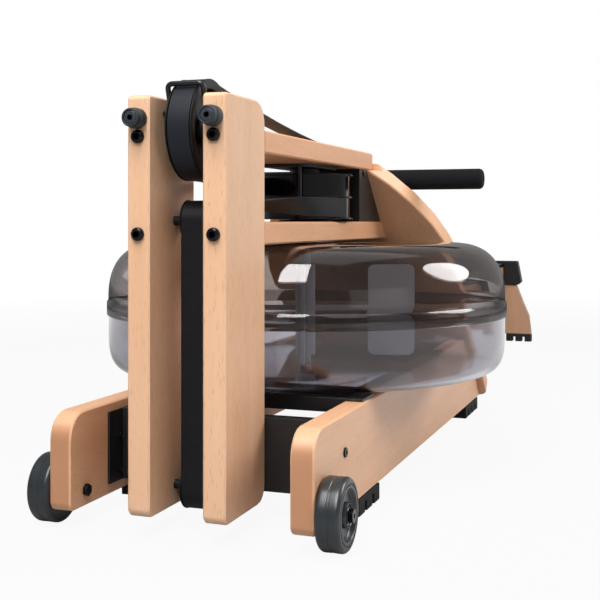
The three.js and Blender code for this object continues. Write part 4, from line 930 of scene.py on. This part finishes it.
def makeScrews():
    s = screws
    sides = (-1, 1)
    low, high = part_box("cross_member")
    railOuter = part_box("base_rail_right")[1].x
    boltY = low.y + s["railBehind"] * mm
    heights = (low.z + s["railAboveFoot"] * mm, high.z - s["railUnderTop"] * mm)
    places = [((side * railOuter, boltY, z), (side, 0, 0)) for side in sides for z in heights]
    screwSet("crossMemberScrews", places, *s["railHead"])

    inner = high.x - s["nutInset"] * mm
    places = [((side * inner, boltY, z), (-side, 0, 0)) for side in sides for z in heights]
    screwSet("crossMemberNuts", places, *s["smallHead"])

    low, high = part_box("deck_spacer")
    y, z = low.y + s["bracketBehind"] * mm, high.z - s["bracketUnderTop"] * mm
    screwSet("deckBracketScrews", [((side * high.x, y, z), (side, 0, 0)) for side in sides], *s["smallHead"])

    for name in ("front", "rear"):
        low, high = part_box("tank_support_" + name)
        x, y = s["supportAside"] * mm, (low.y + high.y) / 2
        places = [((side * x, y, high.z), (0, 0, 1)) for side in sides]
        screwSet("tankSupportScrews" + name.capitalize(), places, *s["smallHead"])

    up = Vector((0, math.sin(boardSlope), math.cos(boardSlope)))
    for side, name in ((-1, "Left"), (1, "Right")):
        middle = -side * footStrap["middle"]
        spots = [(middle + aside * s["plateAside"], along) for aside in sides for along in s["plateAlong"]]
        places = [(boardPlace(across, along, s["plateFace"]), up) for across, along in spots]
        screwSet("footplateScrews" + name, places, *s["plateHead"])

    low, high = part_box("rail_end_cap")
    x, z = s["capAside"] * mm, low.z + s["capAboveFoot"] * mm
    screwSet("endCapScrews", [((side * x, high.y, z), (0, 1, 0)) for side in sides], *s["capHead"])


makeDeckBolts()
makeScrews()
print("screws set")

# Floor, world and lights. The camera sees a white room; the object is lit by soft boxes, with a weaker room.
stage = {
    "floorSize": 30.0,
    "floorColor": "A0A0A0",
    "nearLight": 0.93,
    "nearRadius": 1.3,
    "farRadius": 3.0,
    "roomStrength": 0.24,
    "frontGloss": 0.03,
    "floorBeside": (0.16, 0.3),
    "floorBehind": (-0.8, 1.0),
    "wallStraight": (0.8, 0.95),
    "wallLow": (0.12, 0.35),
    "screenRight": (-0.28, -0.16),
    "screenFar": (0.3, 0.6),
    "screenTone": 0.0,
}
lamps = [
    # name, shape, direction from the tank, distance, width, height, turn in its own plane, power in watts;
    # one with Fill in its name lights the object but isn't mirrored in it
    ("frontSoftbox", "RECTANGLE", (-0.015, -0.60, 0.79), 2.2, 0.95, 1.75, 13.5, 66),
    ("rightOctabox", "DISK", (0.76, 0.42, 0.50), 2.0, 1.05, 1.05, 0, 24),
    ("rightFill", "RECTANGLE", (0.85, -0.50, 0.12), 2.6, 1.6, 1.2, 0, 9),
    ("topSoftbox", "RECTANGLE", (0.0, 0.25, 0.97), 2.6, 1.8, 2.4, 0, 7),
    ("leftFill", "RECTANGLE", (-0.9, 0.15, 0.4), 2.6, 1.4, 1.4, 0, 14),
]
lampTarget = Vector((0.1, -0.78, 0.28))


def roomShare(tree, behind, through=1.0):
    # How much of the white room a ray meets: all of it straight from the camera, and through glass the share
    # given as through. Satin surfaces mirror the white wall behind the machine, clear ones only the lamps.
    # The light that falls on the object gets none of it.
    paths = addNode(tree, "ShaderNodeLightPath").outputs
    bounced = maths(tree, "MINIMUM", paths["Glossy Depth"], 1.0)
    inner = maths(tree, "MULTIPLY", paths["Is Transmission Ray"], bounced)
    mirrored = maths(tree, "MAXIMUM", paths["Is Glossy Ray"], inner)
    satin = maths(tree, "SUBTRACT", 1.0, paths["Is Singular Ray"])
    satin = maths(tree, "MULTIPLY", satin, mirrored)
    gloss = maths(tree, "MULTIPLY", satin, behind)
    depth = maths(tree, "ADD", paths["Diffuse Depth"], bounced)
    clear = maths(tree, "MAXIMUM", maths(tree, "SUBTRACT", 1.0, depth), 0.0)
    clear = maths(tree, "MULTIPLY", clear, through)
    glass = maths(tree, "MULTIPLY", paths["Is Transmission Ray"], clear)
    seen = maths(tree, "MAXIMUM", paths["Is Camera Ray"], glass)
    return maths(tree, "MAXIMUM", seen, gloss)


def makeStage():
    mesh = bmesh.new()
    bmesh.ops.create_grid(mesh, x_segments=1, y_segments=1, size=stage["floorSize"] / 2)
    data = bpy.data.meshes.new("studioFloor")
    mesh.to_mesh(data)
    mesh.free()
    floor = bpy.data.objects.new("studioFloor", data)
    bpy.context.scene.collection.objects.link(floor)
    material = bpy.data.materials.new("paperFloor")
    material.use_nodes = True
    tree = material.node_tree
    tree.nodes.clear()
    paper = addNode(tree, "ShaderNodeBsdfDiffuse", {"Color": hexColor(stage["floorColor"])})
    glow = addNode(tree, "ShaderNodeEmission", {"Color": (1, 1, 1, 1), "Strength": 1.0})
    place = addNode(tree, "ShaderNodeTexCoord").outputs["Object"]
    distance = addNode(tree, "ShaderNodeVectorMath", {0: place}, operation="LENGTH").outputs["Value"]
    ownLight = spread(tree, distance, stage["nearRadius"], stage["farRadius"], stage["nearLight"], 1.0)
    spots = addNode(tree, "ShaderNodeSeparateXYZ", {0: place}).outputs
    beside = spread(tree, spots["X"], *stage["floorBeside"])
    along = spread(tree, spots["Y"], *stage["floorBehind"], stage["frontGloss"], 1.0)
    share = maths(tree, "MULTIPLY", roomShare(tree, maths(tree, "MAXIMUM", along, beside)), ownLight)
    mixed = addNode(tree, "ShaderNodeMixShader", {0: share, 1: paper.outputs[0], 2: glow.outputs[0]})
    addNode(tree, "ShaderNodeOutputMaterial", {"Surface": mixed.outputs[0]})
    data.materials.append(material)

    world = bpy.data.worlds.new("studioWorld")
    world.use_nodes = True
    tree = world.node_tree
    tree.nodes.clear()
    room = addNode(tree, "ShaderNodeBackground", {"Color": (1, 1, 1, 1), "Strength": stage["roomStrength"]})
    white = addNode(tree, "ShaderNodeBackground", {"Color": (1, 1, 1, 1), "Strength": 1.0})
    direction = addNode(tree, "ShaderNodeTexCoord").outputs["Generated"]
    parts = addNode(tree, "ShaderNodeSeparateXYZ", {0: direction}).outputs
    straight = spread(tree, parts["Y"], *stage["wallStraight"])
    low = spread(tree, parts["Z"], *stage["wallLow"], 1.0, 0.0)
    behind = spread(tree, maths(tree, "MULTIPLY", straight, low), 0.0, 1.0, stage["frontGloss"], 1.0)
    # A dark screen stands far behind the machine on the right, and shows only through the tank
    toRight = spread(tree, parts["X"], *stage["screenRight"])
    farBack = spread(tree, parts["Y"], *stage["screenFar"])
    screen = maths(tree, "MULTIPLY", toRight, farBack)
    through = spread(tree, screen, 0.0, 1.0, 1.0, stage["screenTone"])
    share = roomShare(tree, behind, through)
    mixed = addNode(tree, "ShaderNodeMixShader", {0: share, 1: room.outputs[0], 2: white.outputs[0]})
    addNode(tree, "ShaderNodeOutputWorld", {"Surface": mixed.outputs[0]})
    bpy.context.scene.world = world

    for name, shape, direction, distance, width, height, turn, power in lamps:
        light = bpy.data.lights.new(name, "AREA")
        light.shape = shape
        light.size = width
        if shape == "RECTANGLE":
            light.size_y = height
        light.energy = power
        lamp = bpy.data.objects.new(name, light)
        away = Vector(direction).normalized()
        lamp.location = lampTarget + away * distance
        turned = Matrix.Rotation(math.radians(turn), 3, "Z")
        lamp.rotation_euler = (away.to_track_quat("Z", "Y").to_matrix() @ turned).to_euler()
        lamp.visible_glossy = "Fill" not in name
        bpy.context.scene.collection.objects.link(lamp)


makeStage()
bpy.context.scene.view_settings.view_transform = "Standard"
print("stage set")
